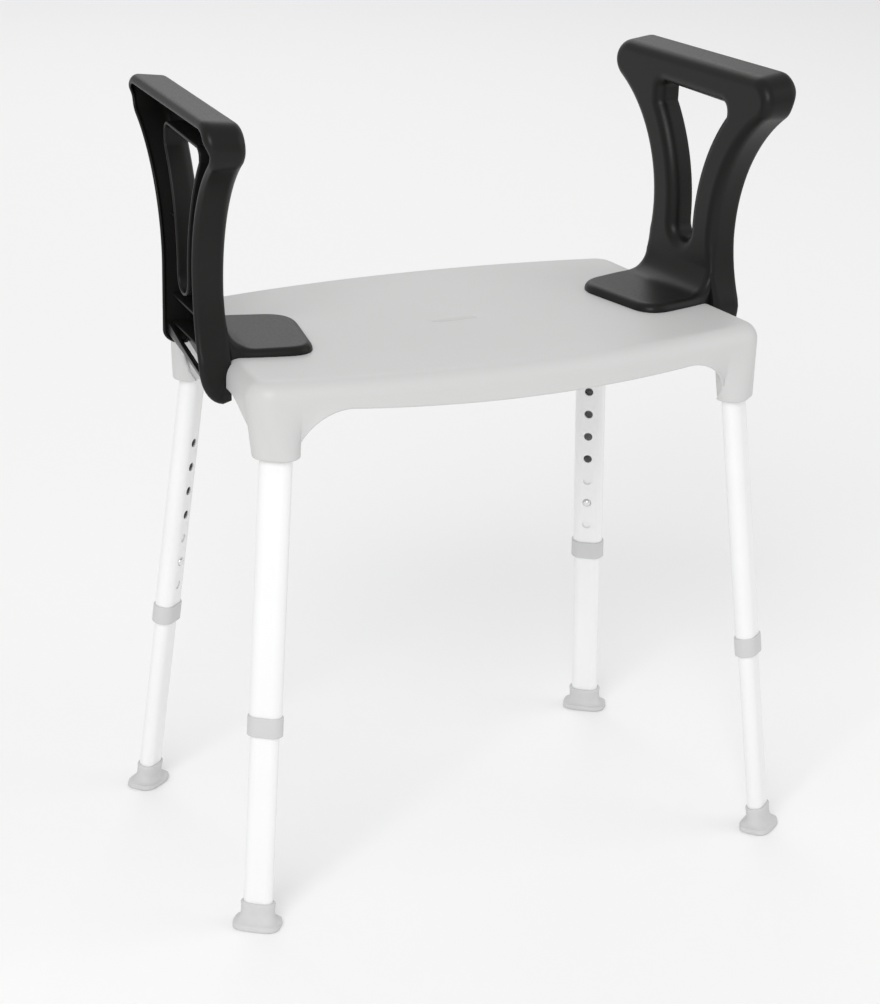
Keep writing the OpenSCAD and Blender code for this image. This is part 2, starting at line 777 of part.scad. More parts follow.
seat_shell();
left_armrest();
right_armrest();
upper_tube(LEFT, FRONT);  // front_left_upper_tube
collar(LEFT, FRONT);  // front_left_collar
lower_tube(LEFT, FRONT);  // front_left_lower_tube
glide_sleeve(LEFT, FRONT);  // front_left_glide_sleeve
snap_button(LEFT, FRONT);  // front_left_snap_button
snap_spring(LEFT, FRONT);  // front_left_snap_spring
foot(LEFT, FRONT);  // front_left_foot
foot_washer(LEFT, FRONT);  // front_left_foot_washer
lock_button(LEFT, FRONT);  // front_left_lock_button
lock_spring(LEFT, FRONT);  // front_left_lock_spring
upper_tube(RIGHT, FRONT);  // front_right_upper_tube
collar(RIGHT, FRONT);  // front_right_collar
lower_tube(RIGHT, FRONT);  // front_right_lower_tube
glide_sleeve(RIGHT, FRONT);  // front_right_glide_sleeve
snap_button(RIGHT, FRONT);  // front_right_snap_button
snap_spring(RIGHT, FRONT);  // front_right_snap_spring
foot(RIGHT, FRONT);  // front_right_foot
foot_washer(RIGHT, FRONT);  // front_right_foot_washer
lock_button(RIGHT, FRONT);  // front_right_lock_button
lock_spring(RIGHT, FRONT);  // front_right_lock_spring
upper_tube(LEFT, REAR);  // rear_left_upper_tube
collar(LEFT, REAR);  // rear_left_collar
lower_tube(LEFT, REAR);  // rear_left_lower_tube
glide_sleeve(LEFT, REAR);  // rear_left_glide_sleeve
snap_button(LEFT, REAR);  // rear_left_snap_button
snap_spring(LEFT, REAR);  // rear_left_snap_spring
foot(LEFT, REAR);  // rear_left_foot
foot_washer(LEFT, REAR);  // rear_left_foot_washer
lock_button(LEFT, REAR);  // rear_left_lock_button
lock_spring(LEFT, REAR);  // rear_left_lock_spring
upper_tube(RIGHT, REAR);  // rear_right_upper_tube
collar(RIGHT, REAR);  // rear_right_collar
lower_tube(RIGHT, REAR);  // rear_right_lower_tube
glide_sleeve(RIGHT, REAR);  // rear_right_glide_sleeve
snap_button(RIGHT, REAR);  // rear_right_snap_button
snap_spring(RIGHT, REAR);  // rear_right_snap_spring
foot(RIGHT, REAR);  // rear_right_foot
foot_washer(RIGHT, REAR);  // rear_right_foot_washer
lock_button(RIGHT, REAR);  // rear_right_lock_button
lock_spring(RIGHT, REAR);  // rear_right_lock_spring
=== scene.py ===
"""The finished look of a height-adjustable shower stool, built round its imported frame.

Each visible piece is a surface worked out on a grid of two parameters. Lengths are
metres, +Z is up, -Y is the front, and the origin lies on the floor under the seat.
"""

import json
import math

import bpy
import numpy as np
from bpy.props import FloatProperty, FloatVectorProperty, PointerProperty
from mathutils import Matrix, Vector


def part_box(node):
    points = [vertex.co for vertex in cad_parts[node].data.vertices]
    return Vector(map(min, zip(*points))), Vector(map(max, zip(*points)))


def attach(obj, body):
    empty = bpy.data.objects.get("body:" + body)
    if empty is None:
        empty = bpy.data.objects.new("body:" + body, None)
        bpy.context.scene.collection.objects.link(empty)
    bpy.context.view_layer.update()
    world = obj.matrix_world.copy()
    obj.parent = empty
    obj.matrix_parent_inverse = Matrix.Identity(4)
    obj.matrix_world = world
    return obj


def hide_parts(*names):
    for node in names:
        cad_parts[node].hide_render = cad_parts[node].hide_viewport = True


bl_info = {
    "name": "Shower Stool",
    "version": (1, 0, 0),
    "blender": (4, 5, 0),
    "location": "View3D > Sidebar > Shower Stool",
    "description": "Builds a shower stool with a moulded seat, armrests and telescopic legs",
    "category": "Mesh",
}

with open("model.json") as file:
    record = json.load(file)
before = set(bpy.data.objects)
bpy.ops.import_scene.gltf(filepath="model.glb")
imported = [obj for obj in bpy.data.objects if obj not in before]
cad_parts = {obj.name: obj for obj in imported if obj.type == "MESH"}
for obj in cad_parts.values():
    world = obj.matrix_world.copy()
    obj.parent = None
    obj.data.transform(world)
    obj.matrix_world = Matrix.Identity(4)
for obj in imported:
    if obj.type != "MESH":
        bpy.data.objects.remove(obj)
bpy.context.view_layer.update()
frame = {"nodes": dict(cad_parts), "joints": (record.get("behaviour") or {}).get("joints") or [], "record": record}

MM = 0.001
LEFT, RIGHT = -1, 1
FRONT, REAR = -1, 1
LEGS = {
    "front_left": (LEFT, FRONT),
    "front_right": (RIGHT, FRONT),
    "rear_left": (LEFT, REAR),
    "rear_right": (RIGHT, REAR),
}
SEAT_LOW, SEAT_HIGH = (np.array(corner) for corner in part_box("seat_shell"))
RIM = float(SEAT_HIGH[2])
MOUTH = float(SEAT_LOW[2])


# ---- Sizes and colours a user may change --------------------------------


class SeatProperties(bpy.types.PropertyGroup):
    half_width: FloatProperty(
        name="Half width", description="Half of the seat's width at its middle",
        default=0.245, unit="LENGTH")
    side_taper: FloatProperty(
        name="Side taper", description="How much each side turns in, per unit of depth",
        default=0.0875)
    bow_radius: FloatProperty(
        name="Bow radius", description="Radius of the bowed front and back edges",
        default=1.12, unit="LENGTH")
    corner_radius: FloatProperty(
        name="Corner radius", description="Radius of the seat's corners from above",
        default=0.022, unit="LENGTH")
    roll_radius: FloatProperty(
        name="Edge radius", description="Radius of the rolled top edge",
        default=0.0125, unit="LENGTH")
    wall: FloatProperty(
        name="Wall", description="Thickness of the moulding", default=0.003, unit="LENGTH")
    socket_wall: FloatProperty(
        name="Socket wall", description="Thickness of a leg socket at its mouth",
        default=0.0038, unit="LENGTH")
    skirt: FloatProperty(
        name="Skirt", description="Depth of the skirt beside the arches",
        default=0.0215, unit="LENGTH")
    skirt_sag: FloatProperty(
        name="Skirt sag", description="Extra depth of the skirt in the middle",
        default=0.005, unit="LENGTH")
    dish_depth: FloatProperty(
        name="Dish depth", description="Depth of the shallow dish in the top",
        default=0.0035, unit="LENGTH")
    dish_radius: FloatProperty(
        name="Dish radius", description="Radius of the shallow dish",
        default=0.14, unit="LENGTH")
    slot_length: FloatProperty(
        name="Slot length", description="Length of the drain slot",
        default=0.046, unit="LENGTH")
    slot_width: FloatProperty(
        name="Slot width", description="Width of the drain slot",
        default=0.0075, unit="LENGTH")
    arch_reach: FloatProperty(
        name="Arch reach", description="How far an arch reaches along the skirt",
        default=0.044, unit="LENGTH")
    rib_spacing: FloatProperty(
        name="Rib spacing", description="Distance between ribs that run front to back",
        default=0.070, unit="LENGTH")


class ArmrestProperties(bpy.types.PropertyGroup):
    lean: FloatProperty(
        name="Lean", description="Outward lean of the armrest",
        default=math.radians(1.0), subtype="ANGLE")
    wall: FloatProperty(
        name="Wall", description="Thickness of the moulding", default=0.003, unit="LENGTH")
    edge_radius: FloatProperty(
        name="Edge radius", description="Radius of the soft edge round the inner face",
        default=0.0065, unit="LENGTH")
    hole_radius: FloatProperty(
        name="Opening edge", description="Radius of the edge round the hand opening",
        default=0.0075, unit="LENGTH")
    foot_depth: FloatProperty(
        name="Foot depth", description="Depth of the channel at the seat",
        default=0.0225, unit="LENGTH")
    nose_depth: FloatProperty(
        name="Nose depth", description="Depth of the channel at the grip's ends",
        default=0.027, unit="LENGTH")
    grip_depth: FloatProperty(
        name="Grip depth", description="Depth of the grip's top",
        default=0.032, unit="LENGTH")
    grip_tilt: FloatProperty(
        name="Grip tilt", description="How much lower the grip's inner edge lies",
        default=0.004, unit="LENGTH")


class FinishProperties(bpy.types.PropertyGroup):
    seat_colour: FloatVectorProperty(
        name="Seat", description="Colour of the seat's plastic", subtype="COLOR",
        size=3, min=0, max=1, default=(0.60, 0.60, 0.595))
    armrest_colour: FloatVectorProperty(
        name="Armrest", description="Colour of the armrests' plastic", subtype="COLOR",
        size=3, min=0, max=1, default=(0.010, 0.0094, 0.0090))
    tube_colour: FloatVectorProperty(
        name="Tube", description="Colour of the coated tubes", subtype="COLOR",
        size=3, min=0, max=1, default=(0.88, 0.88, 0.88))
    trim_colour: FloatVectorProperty(
        name="Trim", description="Colour of the collars and sleeves", subtype="COLOR",
        size=3, min=0, max=1, default=(0.60, 0.60, 0.60))
    foot_colour: FloatVectorProperty(
        name="Foot", description="Colour of the rubber feet", subtype="COLOR",
        size=3, min=0, max=1, default=(0.60, 0.60, 0.60))
    steel_colour: FloatVectorProperty(
        name="Steel", description="Colour of the buttons and springs", subtype="COLOR",
        size=3, min=0, max=1, default=(0.80, 0.80, 0.82))


class StageProperties(bpy.types.PropertyGroup):
    place: FloatVectorProperty(
        name="Camera place", description="Where the camera stands", subtype="XYZ",
        size=3, default=(-1.272, -2.554, 1.3535))
    yaw: FloatProperty(
        name="Yaw", description="Turn of the view to the right of +Y",
        default=0.4587, subtype="ANGLE")
    pitch: FloatProperty(
        name="Pitch", description="How far the view looks down",
        default=0.348, subtype="ANGLE")
    roll: FloatProperty(
        name="Roll", description="Turn of the camera about its view",
        default=0.026, subtype="ANGLE")
    lens: FloatProperty(
        name="Lens", description="Focal length in millimetres", default=114.1)


def settings():
    return bpy.context.scene.shower_stool


# ---- Meshes ---------------------------------------------------------------


def wrap_faces(rows, columns, close_rows):
    """Quads of a grid whose columns close on themselves, and whose rows may too."""
    last = rows if close_rows else rows - 1
    row = np.arange(last)[:, None]
    column = np.arange(columns)[None, :]
    beside = (column + 1) % columns
    above = (row + 1) % rows
    corners = (row * columns + column, row * columns + beside,
               above * columns + beside, above * columns + column)
    return np.stack([np.broadcast_to(c, (last, columns)) for c in corners], -1).reshape(-1, 4)


def torus(grid):
    """A grid closed both ways, as one part: its points and its faces."""
    rows, columns, _ = grid.shape
    return grid.reshape(-1, 3), wrap_faces(rows, columns, True)


def capsule(grid):
    """A grid closed one way, with a point added at each end's middle, as one part."""
    rows, columns, _ = grid.shape
    first = np.broadcast_to(grid[0].mean(0), (1, columns, 3))
    last = np.broadcast_to(grid[-1].mean(0), (1, columns, 3))
    whole = np.concatenate([first, grid, last])
    return whole.reshape(-1, 3), wrap_faces(rows + 2, columns, False)


def volume(points, faces):
    """Six times the signed volume inside the faces: the sum of a . (b x c)."""
    a, b, c, d = (points[faces[:, i]] for i in range(4))
    return np.sum(a * np.cross(b, c)) + np.sum(a * np.cross(c, d))


def outward(part):
    """The part with its faces turned round if they enclose a negative volume."""
    points, faces = part
    return (points, faces[:, ::-1]) if volume(points, faces) < 0 else part


def mirrored(part):
    """The part reflected from right to left, its faces reversed to stay outward."""
    points, faces = part
    return points * np.array([-1.0, 1.0, 1.0]), faces[:, ::-1]


MERGE = 0.002 * MM
SHARP_FROM = math.radians(50)


def make_piece(name, parts, material, body, slot, *nodes):
    """One object from closed parts, whose doubled points are merged."""
    parts = [outward(part) for part in parts]
    starts = np.cumsum([0] + [len(points) for points, _ in parts])
    points = np.concatenate([points for points, _ in parts])
    faces = np.concatenate([f + s for (_, f), s in zip(parts, starts)])
    keys = np.round(points / MERGE).astype(np.int64)
    _, first, index = np.unique(keys, axis=0, return_index=True, return_inverse=True)
    points, faces = points[first], index.reshape(-1)[faces]
    kept = faces != np.roll(faces, -1, 1)
    counts = kept.sum(1)
    whole = counts >= 3
    kept, counts = kept[whole], counts[whole]
    corners = faces[whole][kept]
    mesh = bpy.data.meshes.new(name)
    mesh.vertices.add(len(points))
    mesh.vertices.foreach_set("co", points.astype(np.float32).ravel())
    mesh.loops.add(len(corners))
    mesh.loops.foreach_set("vertex_index", corners.astype(np.int32))
    mesh.polygons.add(len(counts))
    mesh.polygons.foreach_set("loop_start", np.concatenate([[0], np.cumsum(counts)[:-1]]))
    mesh.polygons.foreach_set("loop_total", counts)
    mesh.polygons.foreach_set("use_smooth", np.ones(len(counts), bool))
    mesh.update(calc_edges=True)
    mesh.validate()
    mesh.set_sharp_from_angle(angle=SHARP_FROM)
    mesh.materials.append(material)
    piece = bpy.data.objects.new(name, mesh)
    bpy.context.scene.collection.objects.link(piece)
    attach(piece, body)
    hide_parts(*nodes)
    return piece


def unit(vectors):
    """Vectors divided by their lengths, along the last axis."""
    length = np.linalg.norm(vectors, axis=-1, keepdims=True)
    return vectors / np.maximum(length, 1e-12)


def grid_normals(grid):
    """Unit normals of a grid whose columns close: across the row times along it,
    each from the points on both sides."""
    along = np.roll(grid, -1, 1) - np.roll(grid, 1, 1)
    across = np.gradient(grid, axis=0)
    return unit(np.cross(along, across))


def shell(grid, wall, steps=5):
    """A wall of even thickness behind a grid whose columns close, with a half-round
    rim at each end: the second skin is the first moved back along its normals, and a
    rim is the half circle from one skin to the other about their middle."""
    normal = grid_normals(grid)
    inner = grid - wall * normal

    def rim(end, inside):
        edge = np.roll(grid[end], -1, 0) - np.roll(grid[end], 1, 0)
        out = unit(np.cross(edge, normal[end]))
        out = out * np.sign(np.sum(out * (grid[end] - grid[inside]), -1, keepdims=True))
        middle = (grid[end] + inner[end]) / 2
        turn = (np.pi * np.arange(1, steps) / steps)[:, None, None]
        return middle + wall / 2 * (np.cos(turn) * normal[end] + np.sin(turn) * out)

    return torus(np.concatenate([grid, rim(-1, -3), inner[::-1], rim(0, 2)[::-1]]))


def bar(start, end, width, low, high, round_r=0.8 * MM):
    """A straight rib from start to end: a rounded upright section carried along a line."""
    start, end = np.array(start, float), np.array(end, float)
    along = unit(end - start)
    side = np.array([-along[1], along[0]])
    angle = np.radians([0, 30, 60, 90])
    across = np.concatenate([(width / 2 - round_r) + round_r * np.cos(angle),
                             -(width / 2 - round_r) - round_r * np.cos(angle[::-1])])
    height = np.concatenate([high - round_r + round_r * np.sin(angle),
                             high - round_r + round_r * np.sin(angle[::-1])])
    section = np.concatenate([np.stack([across, height], -1),
                              np.stack([-across, low + high - height], -1)])
    ends = [np.column_stack([place + section[:, :1] * side, section[:, 1]])
            for place in (start, end)]
    return capsule(np.array(ends))


def stadium(angle, radius, flat):
    """Distance from the middle of a stadium to its edge at each angle from its short
    axis: to the flat side while the ray meets it, and beyond that to the end's circle."""
    c, s = np.abs(np.cos(angle)), np.abs(np.sin(angle))
    to_side = radius / np.maximum(c, 1e-9)
    to_round = flat * s + np.sqrt(np.maximum(radius ** 2 - (flat * c) ** 2, 0))
    return np.where(to_side * s <= flat, to_side, to_round)


# ---- Legs' places, from the frame -----------------------------------------


class Leg:
    """A leg's own frame: X inwards along the stool's diagonal, Z up the leg."""

    def __init__(self, name):
        joints = {j["name"]: j for j in frame["joints"]}
        mounts = {m["name"]: m for m in frame["record"]["mounts"]}
        self.name = name
        self.side, self.end = LEGS[name]
        self.foot = np.array(mounts[name + "_sole"]["pos_m"])
        self.up = -np.array(joints[name + "_leg_slide"]["axis"])
        self.inward = np.array(joints[name + "_lock_press"]["axis"])
        self.across = np.cross(self.up, self.inward)
        self.axes = np.array([self.inward, self.across, self.up])

    def place(self, points):
        """Points in the leg's frame, put in the stool's."""
        return self.foot + np.asarray(points) @ self.axes

    def span(self, part):
        """Lowest and highest corner of one of the leg's nodes, in the leg's frame."""
        mesh = frame["nodes"][f"{self.name}_{part}"].data
        points = np.empty(len(mesh.vertices) * 3)
        mesh.vertices.foreach_get("co", points)
        own = (points.reshape(-1, 3) - self.foot) @ self.axes.T
        return own.min(0), own.max(0)

    def oval(self, part, grow=0.0):
        """End radius and half the flat of a node's oval section, grown all round."""
        low, high = self.span(part)
        radius = (high[0] - low[0]) / 2
        return radius + grow, (high[1] - low[1]) / 2 - radius

    def axis_at(self, z):
        """The point of the leg's axis at a height above the floor."""
        return self.foot + self.up * (z / self.up[2])


def oval_rings(leg, radius, flat, profile, columns=64):
    """Rings round a leg's oval: a profile of (offset from the oval, height along the
    leg) carried round the stadium."""
    angle = np.arange(columns) * 2 * np.pi / columns
    profile = np.asarray(profile)
    reach = stadium(angle[None, :], radius + profile[:, :1], flat)
    height = np.broadcast_to(profile[:, 1:], reach.shape)
    return leg.place(np.stack([reach * np.cos(angle), reach * np.sin(angle), height], -1))


def round_corner(centre, radius, start, end, steps=5):
    """Points of an arc about a centre, from one angle in degrees to another."""
    angle = np.radians(np.linspace(start, end, steps))
    return np.stack([centre[0] + radius * np.cos(angle),
                     centre[1] + radius * np.sin(angle)], -1)


# ---- Seat -----------------------------------------------------------------

# Steps along the outline's bow, its corner and its side, and the columns of a quarter
# of the seat: bow, arch, two halves of the socket, arch, side
BOW_STEPS, TURN_STEPS, SIDE_STEPS = 400, 200, 400
COLUMNS = [34, 26, 20, 20, 26, 18]
SLOT_LIP = 1.8 * MM
SLOT_WALL = 4.5 * MM
RIB_DEPTH, RIB_WALL = 20 * MM, 2.5 * MM
BOSS_R = 30 * MM


def outline_quarter(seat, end):
    """The seat's edge from the middle of its front or back to the middle of its side,
    as points, normals' angles and lengths along it. It is a wide arc, a corner's round
    that touches it and the side's line, and that line. The second number of a point is
    its distance towards that end."""
    taper = seat.side_taper * end
    depth = float(SEAT_HIGH[1])
    bow_centre = np.array([0.0, depth - seat.bow_radius])
    normal = unit(np.array([1.0, taper]))
    along = np.array([-normal[1], normal[0]])
    inner = seat.bow_radius - seat.corner_radius
    foot = (seat.half_width * normal[0] - seat.corner_radius) * normal
    q = foot - bow_centre
    b = q @ along
    corner = foot + along * (math.sqrt(b * b - q @ q + inner ** 2) - b)
    from_bow = corner - bow_centre
    touch = math.atan2(from_bow[1], from_bow[0])
    side = math.atan2(normal[1], normal[0])
    bow = np.linspace(np.pi / 2, touch, BOW_STEPS)
    turn = np.linspace(touch, side, TURN_STEPS)[1:]
    spoke = lambda a: np.stack([np.cos(a), np.sin(a)], -1)
    start = corner + seat.corner_radius * normal
    share = np.linspace(0, 1, SIDE_STEPS)[1:, None]
    line = start * (1 - share) + np.array([seat.half_width, 0.0]) * share
    points = np.concatenate([bow_centre + seat.bow_radius * spoke(bow),
                             corner + seat.corner_radius * spoke(turn), line])
    angles = np.concatenate([bow, turn, np.full(len(line), side)])
    steps = np.linalg.norm(np.diff(points, axis=0), axis=1)
    lengths = np.concatenate([[0], np.cumsum(steps)])
    corner_middle = np.interp((touch + side) / 2, angles[::-1][SIDE_STEPS:],
                              lengths[::-1][SIDE_STEPS:])
    return points, angles, lengths, corner_middle


def mouth_oval(leg, wall):
    """The socket's outer oval at its mouth, and the angles from its axis at which it
    faces squarely inwards along X and along the depth."""
    radius, flat = leg.oval("upper_tube", wall)
    axis = unit(np.array([leg.inward[0] * leg.side, leg.inward[1] * leg.end]))
    aside = np.array([-axis[1], axis[0]])

    def facing(normal):
        along, beside = normal @ axis, normal @ aside
        point = radius * along * axis + (radius * beside + flat * np.sign(beside)) * aside
        return math.atan2(point[1], point[0])

    return radius, flat, axis, facing(np.array([-1.0, 0.0])), facing(np.array([0.0, -1.0]))


def corner_columns(seat, leg):
    """Columns of a quarter of the seat, from the middle of its front or back to the
    middle of its side: the top edge's points, their normals and the bottom edge's
    points. Beside a socket the bottom edge is an arch, a quarter of an ellipse from
    the skirt down to the mouth, and round the socket it is the mouth's oval."""
    points, angles, lengths, middle = outline_quarter(seat, leg.end)
    radius, flat, axis, face_x, face_y = mouth_oval(leg, seat.socket_wall)
    centre = leg.axis_at(MOUTH)
    centre = np.array([centre[0] * leg.side, centre[1] * leg.end])
    tilt = math.atan2(axis[1], axis[0])

    def on_mouth(angle):
        reach = stadium(angle - tilt, radius, flat)
        return centre + reach[..., None] * np.stack([np.cos(angle), np.sin(angle)], -1)

    from_x = on_mouth(np.array(face_x))
    from_y = on_mouth(np.array(face_y))
    bow_part = slice(0, BOW_STEPS)
    side_part = slice(BOW_STEPS + TURN_STEPS, None)
    at_x = lambda x: np.interp(x, points[bow_part, 0], lengths[bow_part])
    at_y = lambda y: np.interp(-y, -points[side_part, 1], lengths[side_part])
    stops = [0.0, at_x(from_x[0] - seat.arch_reach), at_x(from_x[0]), middle,
             at_y(from_y[1]), at_y(from_y[1] - seat.arch_reach), lengths[-1]]
    length = np.concatenate([np.linspace(a, b, n, endpoint=False)
                             for a, b, n in zip(stops, stops[1:], COLUMNS)] + [stops[-1:]])
    top = np.stack([np.interp(length, lengths, points[:, i]) for i in (0, 1)], -1)
    angle = np.interp(length, lengths, angles)
    normal = np.stack([np.cos(angle), np.sin(angle)], -1)
    zone = np.searchsorted(np.cumsum(COLUMNS), np.arange(len(length)), side="right")

    arch_start = top[COLUMNS[0], 0]
    sag = np.clip(1 - (top[:, 0] / arch_start) ** 2, 0, 1) * seat.skirt_sag
    skirt_z = RIM - seat.skirt - np.where(zone == 0, sag, 0)
    bottom = np.column_stack([top, skirt_z])

    turned = face_x if face_x > 0 else face_x + 2 * np.pi
    out_angle = math.atan2(-axis[1], -axis[0])
    lower = face_y if face_y < out_angle else face_y - 2 * np.pi
    share = np.arange(COLUMNS[2]) / COLUMNS[2]
    bottom[zone == 2, :2] = on_mouth(turned + (out_angle - turned) * share)
    share = np.arange(COLUMNS[3]) / COLUMNS[3]
    bottom[zone == 3, :2] = on_mouth(out_angle + (lower - out_angle) * share)
    bottom[(zone == 2) | (zone == 3), 2] = MOUTH

    def arch(mask, start, end, share):
        """share runs from 0 at the skirt to 1 at the mouth."""
        turn = share * np.pi / 2
        plan = start[None, :] + (end - start)[None, :] * np.sin(turn)[:, None]
        on_edge = top[mask]
        late = (1 - np.cos(turn))[:, None] ** 1.6
        moved = np.where(np.abs(end - start)[None, :] >= np.abs(end - start).max(),
                         plan, on_edge * (1 - late) + end[None, :] * late)
        bottom[mask, :2] = moved
        bottom[mask, 2] = RIM - seat.skirt - (RIM - seat.skirt - MOUTH) * (1 - np.cos(turn))

    arch(zone == 1, top[COLUMNS[0]], from_x, np.arange(COLUMNS[1]) / COLUMNS[1])
    side_start = top[sum(COLUMNS[:5])]
    arch(zone == 4, side_start, from_y, 1 - np.arange(COLUMNS[4]) / COLUMNS[4])
    flip = np.array([leg.side, leg.end])
    return top * flip, normal * flip, np.column_stack([bottom[:, :2] * flip, bottom[:, 2]])


def seat_columns(seat):
    """All columns of the seat, once round it from the front's middle."""
    quarters = {name: corner_columns(seat, Leg(name)) for name in LEGS}
    order = [("front_right", 1), ("rear_right", -1), ("rear_left", 1), ("front_left", -1)]
    return [np.concatenate([quarters[name][i][::way][:-1] for name, way in order])
            for i in range(3)]


def seat_skin(seat):
    """The seat's outer surface. Rows run up the slot's wall, round its lip, out over the
    dished top on straight lines from the slot to the edge, round the rolled edge as a
    quarter circle, and down the skirt on lines that start upright and end on the bottom
    edge's curve."""
    top, normal, bottom = seat_columns(seat)
    depth = float(SEAT_HIGH[1])
    polar = np.arctan2(top[:, 1] / depth, top[:, 0] / seat.half_width)
    square = lambda v: np.sign(v) * np.abs(v) ** 0.5
    slot = np.stack([seat.slot_length / 2 * square(np.cos(polar)),
                     seat.slot_width / 2 * square(np.sin(polar))], -1)
    along = np.roll(slot, -1, 0) - np.roll(slot, 1, 0)
    away = unit(np.stack([along[:, 1], -along[:, 0]], -1))

    def flat(plan, height):
        return np.concatenate([plan, np.broadcast_to(height, plan.shape[:-1])[..., None]], -1)

    def dish(plan):
        near = np.clip(1 - np.sum(plan ** 2, -1) / seat.dish_radius ** 2, 0, 1)
        return RIM - seat.dish_depth * near ** 2

    floor = RIM - seat.dish_depth
    turn = np.radians(np.linspace(0, 90, 5))[:, None, None]
    wall_z = floor - SLOT_LIP - SLOT_WALL * np.linspace(1, 0, 4)[:-1, None]
    slot_wall = flat(np.broadcast_to(slot, (3,) + slot.shape), wall_z)
    slot_lip = flat(slot + away * SLOT_LIP * (1 - np.cos(turn)),
                    floor - SLOT_LIP * (1 - np.sin(turn[..., 0])))
    inner = slot + away * SLOT_LIP
    outer = top - normal * seat.roll_radius
    share = (np.linspace(0, 1, 30)[1:-1] ** 1.25)[:, None, None]
    plan = inner * (1 - share) + outer * share
    top_rows = flat(plan, dish(plan))
    turn = np.radians(np.linspace(0, 90, 10))[:, None, None]
    roll = flat(outer + normal * seat.roll_radius * np.sin(turn),
                RIM - seat.roll_radius * (1 - np.cos(turn[..., 0])))
    share = np.linspace(0, 1, 22)[1:, None, None]
    skirt_plan = top + (bottom[:, :2] - top) * share ** 1.5
    start_z = RIM - seat.roll_radius
    skirt_z = start_z + (bottom[:, 2] - start_z) * share[..., 0]
    return np.concatenate([slot_wall, slot_lip, top_rows, roll, flat(skirt_plan, skirt_z)])


def socket_sleeve(seat, leg):
    """The oval sleeve that holds a tube: its section carried up the leg to the top."""
    radius, flat = leg.oval("upper_tube", 0.0002)
    start = MOUTH / leg.up[2] + 0.0003
    end = (RIM - seat.wall * 1.5) / leg.up[2]
    wall = seat.socket_wall - 0.0002
    profile = np.concatenate([[[0, end], [0, start + 0.001]],
                              round_corner((wall / 2, start + wall / 2), wall / 2, 180, 360, 7),
                              [[wall, end]]])
    return torus(oval_rings(leg, radius, flat, profile))


def seat_ribs(seat):
    """Straight ribs under the top, each ended inside the skirt, and the slot's boss."""
    depth = float(SEAT_HIGH[1])
    low, high = RIM - RIB_DEPTH, RIM - seat.wall - 1 * MM
    parts = []
    for i in range(-2, 3):
        x = i * seat.rib_spacing
        reach = math.sqrt(seat.bow_radius ** 2 - x ** 2) - seat.bow_radius + depth - 2 * MM
        for end in (FRONT, REAR):
            start = BOSS_R - RIB_WALL if i == 0 else 0.0
            parts.append(bar((x, end * start), (x, end * reach), RIB_WALL, low, high))
    for y in (-seat.rib_spacing, seat.rib_spacing):
        reach = seat.half_width - seat.side_taper * y - 3 * MM
        parts.append(bar((-reach, y), (reach, y), RIB_WALL, low + 0.3 * MM, high))
    angle = np.arange(64) * 2 * np.pi / 64
    inner_r = BOSS_R - RIB_WALL
    profile = np.array([[BOSS_R, high], [BOSS_R, low], [inner_r, low], [inner_r, high]])
    rings = np.stack([profile[:, :1] * np.cos(angle), profile[:, :1] * np.sin(angle),
                      np.broadcast_to(profile[:, 1:], (4, 64))], -1)
    return parts + [torus(rings)]


# ---- Armrests -------------------------------------------------------------
# The armrest's own frame: X outwards from the inner face, Y back along the seat's
# side, Z up from the rim. Its inner face, fillet and flange are one bent sheet, drawn
# flat in (y, w), where w is the length up the sheet from the floor of the upright.

NOSE, NOSE_R = np.array([-90.0, 208.5]) * MM, 20.5 * MM
TAIL, TAIL_R = np.array([117.0, 205.0]) * MM, 19 * MM
FRONT_FLANK = np.array([-195.0, 66.0]) * MM
REAR_FLANK = np.array([186.0, 76.0]) * MM
FRONT_HOLE, FRONT_HOLE_R = np.array([-187.0, 66.0]) * MM, 180 * MM
REAR_HOLE, REAR_HOLE_R = np.array([200.0, 71.0]) * MM, 172 * MM
HOLE_TOP = 197 * MM
HOLE_FRONT, HOLE_REAR = -50 * MM, 62 * MM
HOLE_CORNER = 10 * MM
FLANGE_T = 6.5 * MM
FILLET_R = 28 * MM
FAN_TOP = 60 * MM
FILLET_TOP = FLANGE_T + FILLET_R
FILLET_END = FILLET_TOP - FILLET_R * math.pi / 2
HOOK_FRONT, HOOK_REAR = 35 * MM, 12 * MM
# How far the armrest stands off the seat's side
ARM_STAND_OFF = 0.7 * MM
# The rear edge under the flank: its y at the fan's middle, and its slant
REAR_Y, REAR_Z, REAR_SLANT = 59.5 * MM, 66 * MM, 0.045
# Heights over which the channel deepens, the grip widens and its inner edge drops
DEEP_AT = 190 * MM
WIDEN_FROM, WIDEN_OVER = 200 * MM, 20 * MM
TILT_FROM, TILT_OVER = 185 * MM, 39 * MM
# The lower part of the foot's band that goes round the hook, and how square its round is
HOOK_SHARE, HOOK_ROUND = 0.65, 0.8
# The band's rolled lip, and how much wider it is along the grip
BAND_LIP, GRIP_LIP = 1.2, 3.3
# Upper and lower edge of the claw's outer panel, at its front and its rear
CLAW_FRONT = (-17 * MM, -33 * MM)
CLAW_REAR = (9 * MM, -11 * MM)
CLAW_WALL = 2.4 * MM


def front_edge(z):
    """The front flank's y at a height: a large round, upright below the rim."""
    radius = np.linalg.norm(FRONT_FLANK - NOSE) - NOSE_R
    drop = np.clip(z, 0, FAN_TOP + 0.2) - FRONT_FLANK[1]
    return FRONT_FLANK[0] + np.sqrt(np.maximum(radius ** 2 - drop ** 2, 0))


def rear_edge(z):
    """The rear edge's y at a height under the flank: a nearly upright line."""
    return REAR_Y + REAR_SLANT * (REAR_Z - np.maximum(z, 0))


def arc(centre, radius, start, end, count):
    """count points of an arc, from one angle in degrees towards another."""
    angle = np.radians(np.linspace(start, end, count, endpoint=False))
    return centre + radius * np.stack([np.cos(angle), np.sin(angle)], -1)


